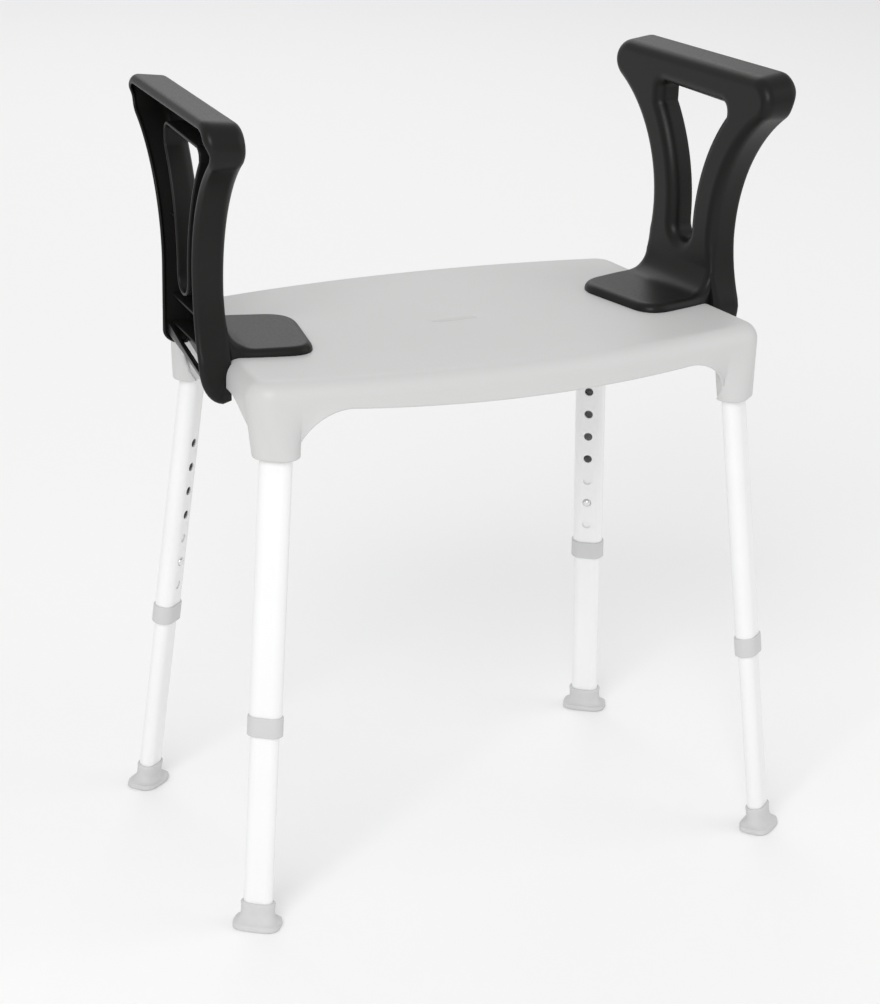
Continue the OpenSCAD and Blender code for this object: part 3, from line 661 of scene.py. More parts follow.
def line(start, end, count):
    """count points of a straight line from start towards end."""
    share = np.linspace(0, 1, count, endpoint=False)[:, None]
    return np.asarray(start) * (1 - share) + np.asarray(end) * share


def rounded(points, radii, count):
    """count points, evenly spaced, of a path with rounded corners: at each inner point
    the two legs are joined by a quadratic curve that starts the given length away."""
    points = np.asarray(points, float)
    pieces = [points[:1]]
    share = np.linspace(0, 1, 12)[:, None]
    for i in range(1, len(points) - 1):
        back = points[i] + unit(points[i - 1] - points[i]) * radii[i - 1]
        on = points[i] + unit(points[i + 1] - points[i]) * radii[i - 1]
        pieces.append(back * (1 - share) ** 2 + points[i] * 2 * share * (1 - share)
                      + on * share ** 2)
    path = np.concatenate(pieces + [points[-1:]])
    lengths = np.concatenate([[0], np.cumsum(np.linalg.norm(np.diff(path, axis=0), axis=1))])
    wanted = np.linspace(0, lengths[-1], count, endpoint=False)
    return np.stack([np.interp(wanted, lengths, path[:, i]) for i in (0, 1)], -1)


def degrees_to(centre, point):
    """The direction from a centre to a point, in degrees from the first axis."""
    return math.degrees(math.atan2(point[1] - centre[1], point[0] - centre[0]))


COUNTS = {"fan": 18, "flank": 30, "end": 26, "top": 36, "rear_fan": 14, "flange": 60}


def outer_loop():
    """The sheet's outer edge in (y, w): front foot, front flank, nose, grip, tail, rear
    flank, rear foot and round the flange, with the pieces' first indices."""
    front_r = np.linalg.norm(FRONT_FLANK - NOSE) - NOSE_R
    rear_r = np.linalg.norm(REAR_FLANK - TAIL) - TAIL_R
    nose_meet = degrees_to(NOSE, FRONT_FLANK) + 360
    tail_meet = degrees_to(TAIL, REAR_FLANK)
    slope = math.acos((NOSE_R - TAIL_R) / np.linalg.norm(TAIL - NOSE))
    top_angle = degrees_to(NOSE, TAIL) + math.degrees(slope)
    top_normal = np.array([math.cos(math.radians(top_angle)), math.sin(math.radians(top_angle))])
    low = math.degrees(math.asin((FAN_TOP - FRONT_FLANK[1]) / front_r))
    heights = np.linspace(FILLET_TOP, FAN_TOP, COUNTS["fan"], endpoint=False)
    rear_heights = np.linspace(FAN_TOP, FILLET_TOP, COUNTS["rear_fan"], endpoint=False)
    rear_low = 180 + math.degrees(math.asin((REAR_FLANK[1] - FAN_TOP) / rear_r))
    flange = rounded(
        [[rear_edge(FILLET_TOP), FILLET_TOP], [62.5 * MM, FILLET_END],
         [47 * MM, -72 * MM], [-58 * MM, -60 * MM],
         [-51 * MM, FILLET_END], [front_edge(FILLET_TOP), FILLET_TOP]],
        [14 * MM, 26 * MM, 22 * MM, 14 * MM], COUNTS["flange"])
    pieces = [
        np.stack([front_edge(heights), heights], -1),
        arc(FRONT_FLANK, front_r, low, degrees_to(FRONT_FLANK, NOSE), COUNTS["flank"]),
        arc(NOSE, NOSE_R, nose_meet, top_angle, COUNTS["end"]),
        line(NOSE + NOSE_R * top_normal, TAIL + TAIL_R * top_normal, COUNTS["top"]),
        arc(TAIL, TAIL_R, top_angle, tail_meet, COUNTS["end"]),
        arc(REAR_FLANK, rear_r, degrees_to(REAR_FLANK, TAIL), rear_low, COUNTS["flank"]),
        np.stack([rear_edge(rear_heights), rear_heights], -1),
        flange]
    return np.concatenate(pieces)


def hole_loop():
    """The hand opening's edge in (y, w), piece by piece beside the outer loop's."""
    front_y = FRONT_HOLE[0] + FRONT_HOLE_R
    rear_y = REAR_HOLE[0] - REAR_HOLE_R
    radius = (rear_y - front_y) / 2
    centre = np.array([(front_y + rear_y) / 2, 47 * MM + radius])
    meet_front = math.degrees(math.acos((HOLE_FRONT - FRONT_HOLE[0]) / FRONT_HOLE_R))
    meet_rear = math.degrees(math.acos((HOLE_REAR - REAR_HOLE[0]) / REAR_HOLE_R))
    front_side = np.concatenate([
        arc(FRONT_HOLE, FRONT_HOLE_R, 0, meet_front, COUNTS["flank"] - 3),
        line([HOLE_FRONT, FRONT_HOLE[1] + FRONT_HOLE_R * math.sin(math.radians(meet_front))],
             [HOLE_FRONT, HOLE_TOP - HOLE_CORNER], 3)])
    rear_side = np.concatenate([
        line([HOLE_REAR, HOLE_TOP - HOLE_CORNER],
             [HOLE_REAR, REAR_HOLE[1] + REAR_HOLE_R * math.sin(math.radians(meet_rear))], 3),
        arc(REAR_HOLE, REAR_HOLE_R, meet_rear, 180, COUNTS["flank"] - 3)])
    pieces = [
        arc(centre, radius, 225, 180, COUNTS["fan"]),
        front_side,
        arc(np.array([HOLE_FRONT + HOLE_CORNER, HOLE_TOP - HOLE_CORNER]), HOLE_CORNER,
            180, 90, COUNTS["end"]),
        line([HOLE_FRONT + HOLE_CORNER, HOLE_TOP], [HOLE_REAR - HOLE_CORNER, HOLE_TOP],
             COUNTS["top"]),
        arc(np.array([HOLE_REAR - HOLE_CORNER, HOLE_TOP - HOLE_CORNER]), HOLE_CORNER,
            90, 0, COUNTS["end"]),
        rear_side,
        arc(centre, radius, 0, -45, COUNTS["rear_fan"]),
        arc(centre, radius, -45, -135, COUNTS["flange"])]
    return np.concatenate(pieces)


def bend(flat):
    """A point of the flat sheet put in space: upright above the fillet, round the
    fillet's quarter circle, and level along the flange below it."""
    y, w = flat[..., 0], flat[..., 1]
    turn = np.clip((FILLET_TOP - w) / FILLET_R, 0, np.pi / 2)
    past = np.minimum(w - FILLET_END, 0)
    x = np.where(w > FILLET_TOP, 0, -FILLET_R + FILLET_R * np.cos(turn) + past)
    z = np.where(w > FILLET_TOP, w, FILLET_TOP - FILLET_R * np.sin(turn))
    return np.stack([x, y, z], -1)


def loop_normals(loop, inwards):
    """Unit normals in the flat sheet, to the loop's inside or outside. The loops run
    clockwise, so the inside lies to their right."""
    along = unit(np.roll(loop, -1, 0) - np.roll(loop, 1, 0))
    right = np.stack([along[:, 1], -along[:, 0]], -1)
    return right if inwards else -right


def band_edge(arms, loop, edge):
    """The outer edge of the band round the armrest, for each point of the outer loop.
    Round the upright it lies straight outwards, by the channel's depth. Over the foot
    it runs down the channel's outer corner and round the hook's quarter ellipse. Under
    the flange it lies on the seat."""
    height = np.clip(loop[:, 1] / DEEP_AT, 0, 1)
    top = np.clip((loop[:, 1] - WIDEN_FROM) / WIDEN_OVER, 0, 1)
    top = top * top * (3 - 2 * top)
    depth = arms.foot_depth + (arms.nose_depth - arms.foot_depth) * height
    depth = depth + (arms.grip_depth - arms.nose_depth) * top
    out = np.stack([depth, loop[:, 0], loop[:, 1]], -1)
    index = np.arange(len(loop))
    fan = index < COUNTS["fan"]
    rear_start = len(loop) - COUNTS["flange"] - COUNTS["rear_fan"]
    rear = (index >= rear_start) & (index < rear_start + COUNTS["rear_fan"])
    flange = index >= len(loop) - COUNTS["flange"]

    def corner(share, hook):
        """share is 0 at the hook's tip and 1 up on the channel's outer edge."""
        turn = np.clip(1 - share / HOOK_SHARE, 0, 1) * np.pi / 2
        above = np.clip((share - HOOK_SHARE) / (1 - HOOK_SHARE), 0, 1) * FAN_TOP
        return arms.foot_depth * np.cos(turn) ** HOOK_ROUND, above - hook * np.sin(turn)

    share = (loop[:, 1] - FILLET_TOP) / (FAN_TOP - FILLET_TOP)
    front_x, front_z = corner(share, HOOK_FRONT)
    rear_x, rear_z = corner(share, HOOK_REAR)
    depth_fan = depth / arms.foot_depth
    out[fan, 0], out[fan, 2] = (front_x * depth_fan)[fan], front_z[fan]
    out[rear, 0], out[rear, 2] = (rear_x * depth_fan)[rear], rear_z[rear]
    out[flange, 0] = edge[flange, 0] - 0.2 * MM
    out[flange, 2] = 0.0
    return out, top, fan, rear


def armrest_skin(arms):
    """The armrest's outer surface. Rows run in along the hand opening's wall, round its
    edge, across the bent sheet on straight lines from the opening to the outer edge,
    round the soft outer edge, out along the band, and over the band's rolled lip."""
    outer, hole = outer_loop(), hole_loop()
    tilt = np.clip((outer[:, 1] - TILT_FROM) / TILT_OVER, 0, 1)
    sheet_edge = outer - np.stack([0 * tilt, arms.grip_tilt * tilt * tilt * (3 - 2 * tilt)], -1)
    edge = bend(sheet_edge)
    out, topness, fan, rear = band_edge(arms, outer, edge)
    inward = loop_normals(sheet_edge, True)
    away = loop_normals(hole, False)
    depth = np.linalg.norm(out - edge, axis=-1)
    radius = np.minimum(arms.edge_radius, 0.62 * depth)[:, None]
    direction = out - edge
    direction[fan | rear, 1] = 0
    direction = unit(direction)

    hole_wall_x = np.linspace(arms.foot_depth - 2 * MM, arms.hole_radius, 9)[:-1, None]
    hole_wall = np.concatenate([np.broadcast_to(hole_wall_x[..., None], (8, len(hole), 1)),
                                np.broadcast_to(hole, (8,) + hole.shape)], -1)
    turn = np.radians(np.linspace(0, 90, 7))[:-1, None]
    r = arms.hole_radius
    hole_plan = hole + away * (r * (1 - np.cos(turn)))[..., None]
    hole_round = bend(hole_plan)
    hole_round[..., 0] += r * (1 - np.sin(turn))

    start = hole + away * r
    end = sheet_edge + inward * radius
    share = np.linspace(0, 1, 26)[:, None, None]
    face = bend(start * (1 - share) + end * share)

    turn = np.radians(np.linspace(0, 90, 9))[1:, None, None]
    soft = bend(sheet_edge + inward * radius * (1 - np.sin(turn)))
    soft = soft + direction * radius * (1 - np.cos(turn))
    lip = (BAND_LIP + GRIP_LIP * topness)[:, None] * MM
    lip = np.minimum(lip, 0.3 * depth[:, None])
    share = np.linspace(0, 1, 13)[1:, None, None]
    band = (edge + direction * radius) * (1 - share) + (out - direction * lip) * share
    inward_space = unit(bend(sheet_edge + inward * 0.5 * MM) - edge)
    turn = np.radians(np.linspace(0, 90, 6))[1:, None, None]
    curl = out - direction * lip + direction * lip * np.sin(turn)
    curl = curl + inward_space * lip * (1 - np.cos(turn))
    rows = np.concatenate([soft, band, curl])
    rows[:, fan, 1] += (front_edge(rows[..., 2]) - front_edge(edge[:, 2]))[:, fan]
    rows[:, rear, 1] += (rear_edge(rows[..., 2]) - rear_edge(edge[:, 2]))[:, rear]
    return np.concatenate([hole_wall, hole_round, face, rows])


def hook_panels(arms):
    """The hook below the channel: an outer panel that follows the hook's quarter ellipse
    and rises to the rear, and a plate against the seat's side."""
    front_y, rear_y = float(front_edge(0.0)) + 2 * MM, float(rear_edge(0.0)) - 2 * MM
    y = np.linspace(front_y, rear_y, 30)
    share = (y - front_y) / (rear_y - front_y)
    hook = HOOK_FRONT * (1 - share) + HOOK_REAR * share
    upper = CLAW_FRONT[0] * (1 - share) + CLAW_REAR[0] * share
    lower = CLAW_FRONT[1] * (1 - share) + CLAW_REAR[1] * share
    v = np.linspace(0, 1, 10)[:, None]
    z = upper * (1 - v) + lower * v
    round_over = np.sqrt(np.clip(1 - (np.minimum(z, 0) / hook) ** 2, 0.04, 1))
    x = arms.foot_depth * round_over ** HOOK_ROUND
    outside = np.stack([x, np.broadcast_to(y, z.shape), z], -1)
    inside = outside - np.array([CLAW_WALL, 0, 0])
    ring = np.concatenate([outside, inside[::-1]]).transpose(1, 0, 2)
    claw = capsule(ring)
    side_ring = np.stack([
        np.stack([0 * y + 0.2 * MM, y, 0 * y + 3 * MM], -1),
        np.stack([0 * y + 0.2 * MM, y, -hook + 1 * MM], -1),
        np.stack([0 * y + 1.2 * MM, y, -hook], -1),
        np.stack([0 * y + 2.2 * MM, y, -hook], -1),
        np.stack([0 * y + 3.2 * MM, y, -hook + 1 * MM], -1),
        np.stack([0 * y + 3.2 * MM, y, 0 * y + 3 * MM], -1)], 1)
    return [claw, capsule(side_ring)]


def channel_rib(arms, z, front, rear):
    """A level rib in the channel, from y front to y rear: a rounded section carried
    along Y."""
    angle = np.radians(np.arange(0, 360, 30))
    x0, x1, half = 1.5 * MM, arms.foot_depth - 5 * MM, 1.2 * MM
    square = lambda v: np.sign(v) * np.abs(v) ** 0.4
    x = (x0 + x1) / 2 + (x1 - x0) / 2 * square(np.cos(angle))
    section = np.stack([x, 0 * x, z + half * square(np.sin(angle))], -1)
    ends = [section + np.array([0, y, 0]) for y in (front, rear)]
    return capsule(np.array(ends))


def armrest_parts(arms):
    """The right armrest's parts in its own frame."""
    flank = lambda z: float(front_edge(z))
    chord = lambda centre, radius, z: math.sqrt(radius ** 2 - (z - centre[1]) ** 2)
    hole_front = lambda z: float(FRONT_HOLE[0] + chord(FRONT_HOLE, FRONT_HOLE_R, z))
    hole_rear = lambda z: float(REAR_HOLE[0] - chord(REAR_HOLE, REAR_HOLE_R, z))
    rear_r = np.linalg.norm(REAR_FLANK - TAIL) - TAIL_R
    rear_flank = lambda z: float(REAR_FLANK[0] - chord(REAR_FLANK, rear_r, z))
    high, middle, low = 110 * MM, 34 * MM, 7.5 * MM
    gap = 2 * MM
    ribs = [
        channel_rib(arms, high, flank(high) + gap, hole_front(high) - gap),
        channel_rib(arms, high, hole_rear(high) + gap, rear_flank(high) - gap),
        channel_rib(arms, middle, flank(middle) + gap, float(rear_edge(middle)) - gap),
        channel_rib(arms, low, flank(low) + gap, float(rear_edge(low)) - gap)]
    return [shell(armrest_skin(arms), arms.wall)] + hook_panels(arms) + ribs


def in_place(seat, arms, part):
    """A part of the right armrest, leaned, turned along the seat's side and set on it."""
    points, faces = part
    move = (Matrix.Translation((seat.half_width + ARM_STAND_OFF, 0, RIM))
            @ Matrix.Rotation(math.atan(seat.side_taper), 4, "Z")
            @ Matrix.Rotation(arms.lean, 4, "Y"))
    matrix = np.array(move)
    return points @ matrix[:3, :3].T + matrix[:3, 3], faces


# ---- Leg pieces -----------------------------------------------------------


def collar_part(leg):
    """A collar: a rounded band with a guide lip, its profile carried round the oval."""
    low, high = leg.span("collar")
    tube_low, _ = leg.span("upper_tube")
    radius, flat = leg.oval("upper_tube")
    lower, _ = leg.oval("lower_tube")
    wall = (high[0] - low[0]) / 2 - radius
    soft = 0.9 * MM
    touch = 0.05 * MM
    step = tube_low[2] - 0.1 * MM
    guide = lower - radius + 0.25 * MM
    profile = np.concatenate([
        [[touch, high[2] - 0.3 * MM]],
        round_corner((wall - soft, high[2] - soft), soft, 90, 0),
        round_corner((wall - soft, low[2] + soft), soft, 0, -90),
        [[guide + 0.25 * MM, low[2]], [guide, low[2] + 0.3 * MM], [guide, step], [touch, step]]])
    return torus(oval_rings(leg, radius, flat, profile, 72))


def foot_part(leg):
    """A foot: rings up the leg that blend a level, rounded-square sole into the oval
    neck. Each ring is a squared oval, |x/a|^n + |y/b|^n = 1, turned square to the leg as
    it rises, and its size follows a hollow quarter round above a soft lip."""
    low, high = leg.span("foot")
    tube_radius, tube_flat = leg.oval("lower_tube")
    half_x = (high[0] - low[0]) / 2 - 0.2 * MM
    half_y = (high[1] - low[1]) / 2
    height = high[2] - 0.2 * MM
    # the sole's thickness, the share of the height up to the neck, and the neck's wall
    sole, neck, wall = 5.5 * MM, 0.62, 2.2 * MM
    lip = 1.6 * MM
    edge = round_corner((0.0, 0.0), 1.0, -90, 0, 6)
    rise = np.linspace(0, 1, 12)[1:]
    flank_s = sole + (neck * height - sole) * (1 - np.cos(rise * np.pi / 2))
    s = np.concatenate([lip * (1 + edge[:, 1]), [sole * 0.6, sole],
                        flank_s, [height - 5 * MM, height - 1.2 * MM, height - 0.35 * MM, height]])
    k = np.concatenate([np.zeros(8), np.sin(rise * np.pi / 2), np.ones(4)])
    inset = np.concatenate([lip * (1 - edge[:, 0]), [0, 0.3 * MM], 0 * rise,
                            [0, -0.5 * MM, 0.0, 0.9 * MM]])
    lean = math.acos(leg.up[2])
    angle = np.arange(72) * 2 * np.pi / 72
    square = 3.4 - 1.1 * k
    power = lambda v: np.sign(v) * np.abs(v) ** (2 / square[:, None])
    a = (tube_radius + wall) * k + half_x * (1 - k) - inset
    b = (tube_radius + tube_flat + wall) * k + half_y * (1 - k) - inset
    x = a[:, None] * power(np.cos(angle))
    y = b[:, None] * power(np.sin(angle))
    turn = lean * (1 - k)[:, None]
    # the sole stays level, so its rings lean back against the leg
    own = np.stack([x * np.cos(turn), y, s[:, None] + x * np.sin(turn)], -1)
    rings = leg.place(own)
    grip = oval_rings(leg, tube_radius, tube_flat,
                      [[0.05 * MM, height - 0.4 * MM], [0.05 * MM, height - 8 * MM]], 72)
    whole = np.concatenate([rings, grip])
    whole[..., 2] = np.maximum(whole[..., 2], 0.0)
    return capsule(whole)


def snap_button_part(leg):
    """A snap button: a rounded pin turned about its own axis, which points inwards."""
    low, high = leg.span("snap_button")
    middle = (low + high) / 2
    flange = (high[1] - low[1]) / 2
    radius = flange - 1.0 * MM
    dome = 2.4 * MM
    profile = np.concatenate([
        [[flange, low[0]], [flange, low[0] + 0.9 * MM], [radius, low[0] + 0.95 * MM]],
        round_corner((radius - dome, high[0] - dome), dome, 0, 90, 9)])
    angle = np.arange(40) * 2 * np.pi / 40
    out = np.broadcast_to(profile[:, 1:], (len(profile), 40))
    own = np.stack([out, middle[1] + profile[:, :1] * np.cos(angle),
                    middle[2] + profile[:, :1] * np.sin(angle)], -1)
    return capsule(leg.place(own))


def lock_button_parts(leg):
    """A lock button: stadium rings that round over to a slightly domed face, and its
    round stem into the tube."""
    low, high = leg.span("lock_button")
    middle = (low + high) / 2
    radius = (high[1] - low[1]) / 2
    flat = (high[2] - low[2]) / 2 - radius
    stem_r = 3.5 * MM
    back = -leg.oval("upper_tube")[0] - 3.3 * MM
    soft = 1.5 * MM
    turn = np.radians(np.linspace(0, 90, 6))
    inset = np.concatenate([[0, 0], soft * (1 - np.cos(turn)), [0.45 * radius, 0.8 * radius]])
    x = np.concatenate([[back, low[0] + soft + 0.4 * MM],
                        low[0] + 0.4 * MM + soft * (1 - np.sin(turn)),
                        [low[0] + 0.12 * MM, low[0]]])
    angle = np.arange(56) * 2 * np.pi / 56
    reach = stadium(angle[None, :], radius - inset[:, None], flat)
    own = np.stack([np.broadcast_to(x[:, None], reach.shape), middle[1] + reach * np.cos(angle),
                    middle[2] + reach * np.sin(angle)], -1)
    stem_x = np.array([low[0] + 2 * MM, high[0] - 0.6 * MM, high[0]])[:, None]
    stem_size = np.array([stem_r, stem_r, stem_r - 0.6 * MM])[:, None]
    stem = np.stack([np.broadcast_to(stem_x, (3, 56)), middle[1] + stem_size * np.cos(angle),
                     middle[2] + stem_size * np.sin(angle)], -1)
    return [capsule(leg.place(own)), capsule(leg.place(stem))]


# ---- Materials ------------------------------------------------------------


def new_material(name):
    material = bpy.data.materials.new(name)
    material.use_nodes = True
    nodes = material.node_tree.nodes
    return material, nodes, material.node_tree.links, nodes["Principled BSDF"]


def noise(nodes, links, scale, detail, stretch=(1, 1, 1)):
    """A noise pattern on object coordinates, drawn out along an axis by stretch."""
    place = nodes.new("ShaderNodeTexCoord")
    mapping = nodes.new("ShaderNodeMapping")
    mapping.inputs["Scale"].default_value = stretch
    pattern = nodes.new("ShaderNodeTexNoise")
    pattern.inputs["Scale"].default_value = scale
    pattern.inputs["Detail"].default_value = detail
    links.new(place.outputs["Object"], mapping.inputs["Vector"])
    links.new(mapping.outputs["Vector"], pattern.inputs["Vector"])
    return pattern


def tint(nodes, links, pattern, colour, spread, socket):
    """Colour that wanders a little each side of the given one as the pattern does."""
    ramp = nodes.new("ShaderNodeValToRGB")
    ramp.color_ramp.elements[0].position = 0.3
    ramp.color_ramp.elements[1].position = 0.7
    for element, factor in zip(ramp.color_ramp.elements, (1 - spread, 1 + spread)):
        element.color = [min(c * factor, 1.0) for c in colour] + [1.0]
    links.new(pattern.outputs["Fac"], ramp.inputs["Fac"])
    links.new(ramp.outputs["Color"], socket)


def roughen(nodes, links, pattern, low, high, socket):
    """Roughness between two values as the pattern goes."""
    ranged = nodes.new("ShaderNodeMapRange")
    ranged.inputs["From Min"].default_value = 0.3
    ranged.inputs["From Max"].default_value = 0.7
    ranged.inputs["To Min"].default_value = low
    ranged.inputs["To Max"].default_value = high
    links.new(pattern.outputs["Fac"], ranged.inputs["Value"])
    links.new(ranged.outputs["Result"], socket)


def bumps(nodes, links, patterns, shader):
    """Fine relief: each (output, strength, distance) adds to the one before it."""
    last = None
    for output, strength, distance in patterns:
        bump = nodes.new("ShaderNodeBump")
        bump.inputs["Strength"].default_value = strength
        bump.inputs["Distance"].default_value = distance
        links.new(output, bump.inputs["Height"])
        if last is not None:
            links.new(last.outputs["Normal"], bump.inputs["Normal"])
        last = bump
    links.new(last.outputs["Normal"], shader.inputs["Normal"])


def moulded_plastic(name, colour, spread, rough, grain, depth, gloss=0.5):
    """Satin moulded plastic: a spark-eroded grain of small cells over soft flow marks."""
    material, nodes, links, shader = new_material(name)
    flow = noise(nodes, links, 9, 2)
    tint(nodes, links, flow, colour, spread, shader.inputs["Base Color"])
    fine = noise(nodes, links, grain * 0.4, 3)
    roughen(nodes, links, fine, rough[0], rough[1], shader.inputs["Roughness"])
    cells = nodes.new("ShaderNodeTexVoronoi")
    cells.inputs["Scale"].default_value = grain
    place = nodes.new("ShaderNodeTexCoord")
    links.new(place.outputs["Object"], cells.inputs["Vector"])
    bumps(nodes, links, [(fine.outputs["Fac"], 0.25, depth * 2),
                         (cells.outputs["Distance"], 0.2, depth)], shader)
    shader.inputs["IOR"].default_value = 1.48
    shader.inputs["Specular IOR Level"].default_value = gloss
    return material


def coated_tube(colour):
    """White coated aluminium: faint lines drawn along the tube under a smooth coat."""
    material, nodes, links, shader = new_material("coated_tube")
    drawn = noise(nodes, links, 260, 2, (1, 1, 0.03))
    soft = noise(nodes, links, 14, 2)
    tint(nodes, links, soft, colour, 0.012, shader.inputs["Base Color"])
    roughen(nodes, links, drawn, 0.30, 0.40, shader.inputs["Roughness"])
    bumps(nodes, links, [(drawn.outputs["Fac"], 0.12, 0.00004)], shader)
    shader.inputs["Metallic"].default_value = 0.15
    shader.inputs["Coat Weight"].default_value = 0.25
    shader.inputs["Coat Roughness"].default_value = 0.12
    return material


def soft_rubber(colour):
    """Matt rubber: a fine pebble with scuffs that roughen it in patches."""
    material, nodes, links, shader = new_material("grey_rubber")
    patches = noise(nodes, links, 60, 4)
    tint(nodes, links, patches, colour, 0.035, shader.inputs["Base Color"])
    roughen(nodes, links, patches, 0.55, 0.75, shader.inputs["Roughness"])
    pebble = noise(nodes, links, 1400, 2)
    bumps(nodes, links, [(pebble.outputs["Fac"], 0.3, 0.00008)], shader)
    return material


def bright_steel(colour):
    """Polished steel with fine turning lines."""
    material, nodes, links, shader = new_material("bright_steel")
    lines = noise(nodes, links, 900, 2, (1, 1, 0.2))
    tint(nodes, links, lines, colour, 0.03, shader.inputs["Base Color"])
    roughen(nodes, links, lines, 0.18, 0.30, shader.inputs["Roughness"])
    bumps(nodes, links, [(lines.outputs["Fac"], 0.1, 0.00003)], shader)
    shader.inputs["Metallic"].default_value = 1.0
    return material


def finish_materials():
    """Each finish, made once and then found by name."""
    finish = settings().finish
    made = {}
    makers = {
        "seat_plastic": lambda: moulded_plastic(
            "seat_plastic", finish.seat_colour, 0.012, (0.40, 0.50), 1500, 0.00006),
        "armrest_plastic": lambda: moulded_plastic(
            "armrest_plastic", finish.armrest_colour, 0.06, (0.32, 0.40), 1300, 0.00006, 0.20),
        "trim_plastic": lambda: moulded_plastic(
            "trim_plastic", finish.trim_colour, 0.012, (0.38, 0.48), 1500, 0.00005),
        "coated_tube": lambda: coated_tube(finish.tube_colour),
        "grey_rubber": lambda: soft_rubber(finish.foot_colour),
        "bright_steel": lambda: bright_steel(finish.steel_colour)}
    for name, maker in makers.items():
        made[name] = bpy.data.materials.get(name) or maker()
    return made


def refinish(node, material):
    """A node of the frame keeps its mesh and gets a finished material."""
    piece = frame["nodes"][node]
    if not piece.material_slots:
        piece.data.materials.append(material)
    for place in piece.material_slots:
        place.material = material


# ---- Operators ------------------------------------------------------------


class BuildSeat(bpy.types.Operator):
    """Build the moulded seat with its sockets, ribs and drain slot"""
    bl_idname = "shower_stool.seat"
    bl_label = "Seat"

    def execute(self, context):
        seat = settings().seat
        parts = [shell(seat_skin(seat), seat.wall)] + seat_ribs(seat)
        parts += [socket_sleeve(seat, Leg(name)) for name in LEGS]
        make_piece("seat", parts, finish_materials()["seat_plastic"], "stool", "seat", "seat_shell")
        return {"FINISHED"}


class BuildArmrests(bpy.types.Operator):
    """Build both armrests, the left as the mirror image of the right"""
    bl_idname = "shower_stool.armrests"
    bl_label = "Armrests"

    def execute(self, context):
        stool = settings()
        right = [in_place(stool.seat, stool.armrest, part) for part in armrest_parts(stool.armrest)]
        material = finish_materials()["armrest_plastic"]
        make_piece("armrest_right", right, material, "stool", "armrest", "right_armrest")
        left = [mirrored(outward(part)) for part in right]
        make_piece("armrest_left", left, material, "stool", "armrest", "left_armrest")
        return {"FINISHED"}


class BuildCollars(bpy.types.Operator):
    """Build the collar round each upper tube's end"""
    bl_idname = "shower_stool.collars"
    bl_label = "Collars"

    def execute(self, context):
        for name in LEGS:
            make_piece(f"{name}_collar_band", [collar_part(Leg(name))],
                       finish_materials()["trim_plastic"], "stool", "trim", f"{name}_collar")
        return {"FINISHED"}


class BuildFeet(bpy.types.Operator):
    """Build the rubber foot on each leg"""
    bl_idname = "shower_stool.feet"
    bl_label = "Feet"

    def execute(self, context):
        for name in LEGS:
            make_piece(f"{name}_rubber_foot", [foot_part(Leg(name))],
                       finish_materials()["grey_rubber"], f"{name}_leg", "foot", f"{name}_foot")
        return {"FINISHED"}


class BuildSnapButtons(bpy.types.Operator):
    """Build the sprung button in each leg's height hole"""
    bl_idname = "shower_stool.snap_buttons"
    bl_label = "Snap buttons"

    def execute(self, context):
        for name in LEGS:
            make_piece(f"{name}_snap_pin", [snap_button_part(Leg(name))],
                       finish_materials()["bright_steel"], f"{name}_snap", "steel",
                       f"{name}_snap_button")
        return {"FINISHED"}


class BuildLockButtons(bpy.types.Operator):
    """Build the button that locks each leg in its socket"""
    bl_idname = "shower_stool.lock_buttons"
    bl_label = "Lock buttons"

    def execute(self, context):
        for name in LEGS:
            make_piece(f"{name}_lock_pad", lock_button_parts(Leg(name)),
                       finish_materials()["seat_plastic"], f"{name}_lock", "seat",
                       f"{name}_lock_button")
        return {"FINISHED"}


class FinishTubes(bpy.types.Operator):
    """Give the tubes, sleeves, springs and washers their finishes"""
    bl_idname = "shower_stool.tubes"
    bl_label = "Tubes and inner pieces"

    def execute(self, context):
        made = finish_materials()
        kinds = {"upper_tube": ("coated_tube", "tube"), "lower_tube": ("coated_tube", "tube"),
                 "glide_sleeve": ("trim_plastic", "trim"), "snap_spring": ("bright_steel", "steel"),
                 "lock_spring": ("bright_steel", "steel"), "foot_washer": ("bright_steel", "steel")}
        for name in LEGS:
            for part, (material, slot) in kinds.items():
                refinish(f"{name}_{part}", made[material])
        return {"FINISHED"}


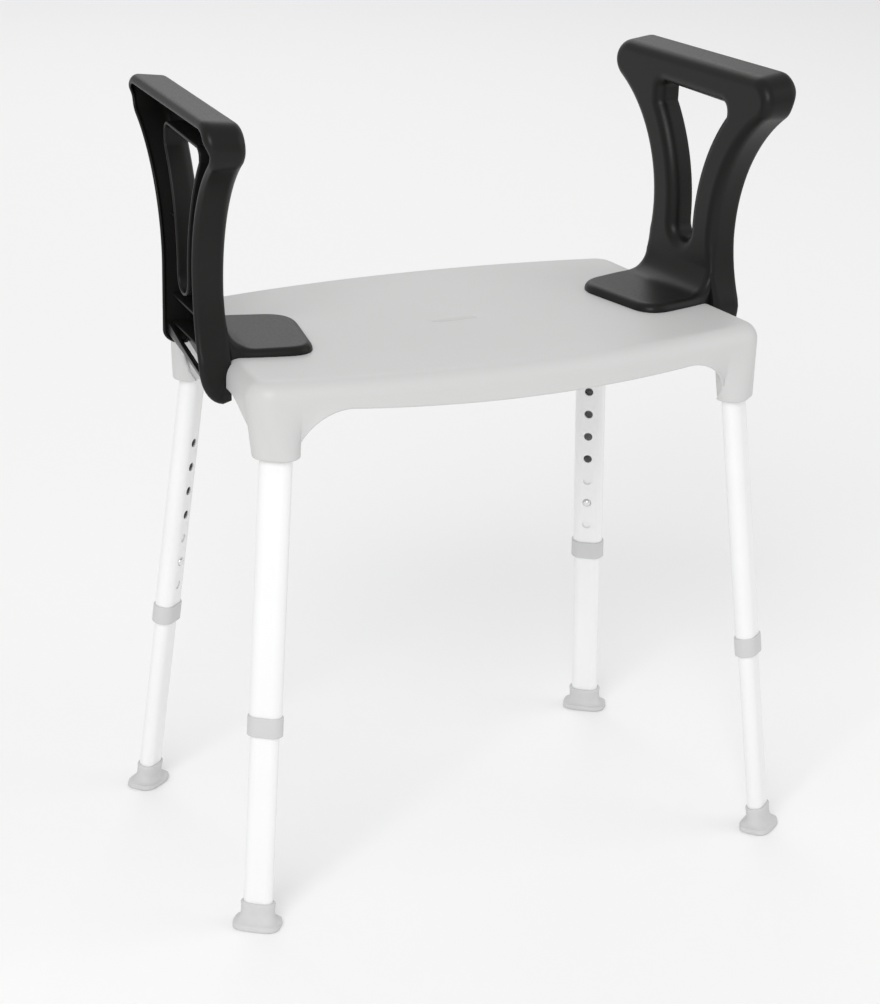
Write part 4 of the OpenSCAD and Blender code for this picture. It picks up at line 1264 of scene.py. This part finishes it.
class BuildStage(bpy.types.Operator):
    """Set the pale floor, the soft lights and the camera"""
    bl_idname = "shower_stool.stage"
    bl_label = "Stage"

    def execute(self, context):
        self.floor()
        self.world()
        area_light("key", (-3.0, -3.6, 3.4), (0, 0, 0.4), 2.6, 130)
        area_light("fill", (3.4, -1.6, 2.2), (0, 0, 0.4), 3.0, 22)
        area_light("back", (0.8, 3.6, 3.2), (0, 0, 0.4), 3.0, 30)
        self.camera()
        return {"FINISHED"}

    def floor(self):
        half = 20.0
        mesh = bpy.data.meshes.new("floor")
        mesh.from_pydata([(-half, -half, 0), (half, -half, 0), (half, half, 0), (-half, half, 0)],
                         [], [(0, 1, 2, 3)])
        material, _, _, shader = new_material("pale_floor")
        shader.inputs["Base Color"].default_value = (0.97, 0.97, 0.97, 1)
        shader.inputs["Roughness"].default_value = 0.9
        shader.inputs["Specular IOR Level"].default_value = 0.1
        mesh.materials.append(material)
        floor = bpy.data.objects.new("floor", mesh)
        bpy.context.scene.collection.objects.link(floor)

    def world(self):
        world = bpy.data.worlds.new("studio")
        world.use_nodes = True
        background = world.node_tree.nodes["Background"]
        background.inputs["Color"].default_value = (1, 1, 1, 1)
        background.inputs["Strength"].default_value = 0.64
        bpy.context.scene.world = world
        bpy.context.scene.view_settings.view_transform = "Standard"

    def camera(self):
        stage = settings().stage
        yaw, pitch, roll = stage.yaw, stage.pitch, stage.roll
        ahead = np.array([math.sin(yaw) * math.cos(pitch), math.cos(yaw) * math.cos(pitch),
                          -math.sin(pitch)])
        right = unit(np.cross(ahead, [0, 0, 1]))
        up = np.cross(right, ahead)
        turned_right = math.cos(roll) * right + math.sin(roll) * up
        turned_up = -math.sin(roll) * right + math.cos(roll) * up
        data = bpy.data.cameras.new("camera")
        data.lens = stage.lens
        data.sensor_width = 36.0
        camera = bpy.data.objects.new("camera", data)
        axes = np.eye(4)
        axes[:3, 0], axes[:3, 1], axes[:3, 2] = turned_right, turned_up, -ahead
        axes[:3, 3] = stage.place
        camera.matrix_world = Matrix(axes.tolist())
        bpy.context.scene.collection.objects.link(camera)
        bpy.context.scene.camera = camera


def area_light(name, place, target, size, power):
    """A square soft light that faces a point."""
    data = bpy.data.lights.new(name, "AREA")
    data.size = size
    data.energy = power
    light = bpy.data.objects.new(name, data)
    back = unit(np.array(place, float) - np.array(target, float))
    side = unit(np.cross([0, 0, 1], back))
    axes = np.eye(4)
    axes[:3, 0], axes[:3, 1], axes[:3, 2] = side, np.cross(back, side), back
    axes[:3, 3] = place
    light.matrix_world = Matrix(axes.tolist())
    bpy.context.scene.collection.objects.link(light)


OPERATORS = (BuildSeat, BuildArmrests, FinishTubes, BuildCollars, BuildFeet,
             BuildSnapButtons, BuildLockButtons, BuildStage)


class StoolProperties(bpy.types.PropertyGroup):
    seat: PointerProperty(type=SeatProperties)
    armrest: PointerProperty(type=ArmrestProperties)
    finish: PointerProperty(type=FinishProperties)
    stage: PointerProperty(type=StageProperties)


class StoolPanel(bpy.types.Panel):
    """Buttons that build the stool piece by piece"""
    bl_idname = "VIEW3D_PT_shower_stool"
    bl_label = "Shower Stool"
    bl_space_type = "VIEW_3D"
    bl_region_type = "UI"
    bl_category = "Shower Stool"

    def draw(self, context):
        for operator in OPERATORS:
            self.layout.operator(operator.bl_idname)


CLASSES = (SeatProperties, ArmrestProperties, FinishProperties, StageProperties,
           StoolProperties) + OPERATORS + (StoolPanel,)


def register():
    for cls in CLASSES:
        bpy.utils.register_class(cls)
    bpy.types.Scene.shower_stool = PointerProperty(type=StoolProperties)


def unregister():
    del bpy.types.Scene.shower_stool
    for cls in reversed(CLASSES):
        bpy.utils.unregister_class(cls)


def main():
    register()
    bpy.ops.shower_stool.seat()
    bpy.ops.shower_stool.armrests()
    bpy.ops.shower_stool.tubes()
    bpy.ops.shower_stool.collars()
    bpy.ops.shower_stool.feet()
    bpy.ops.shower_stool.snap_buttons()
    bpy.ops.shower_stool.lock_buttons()
    bpy.ops.shower_stool.stage()


if __name__ == "__main__":
    main()
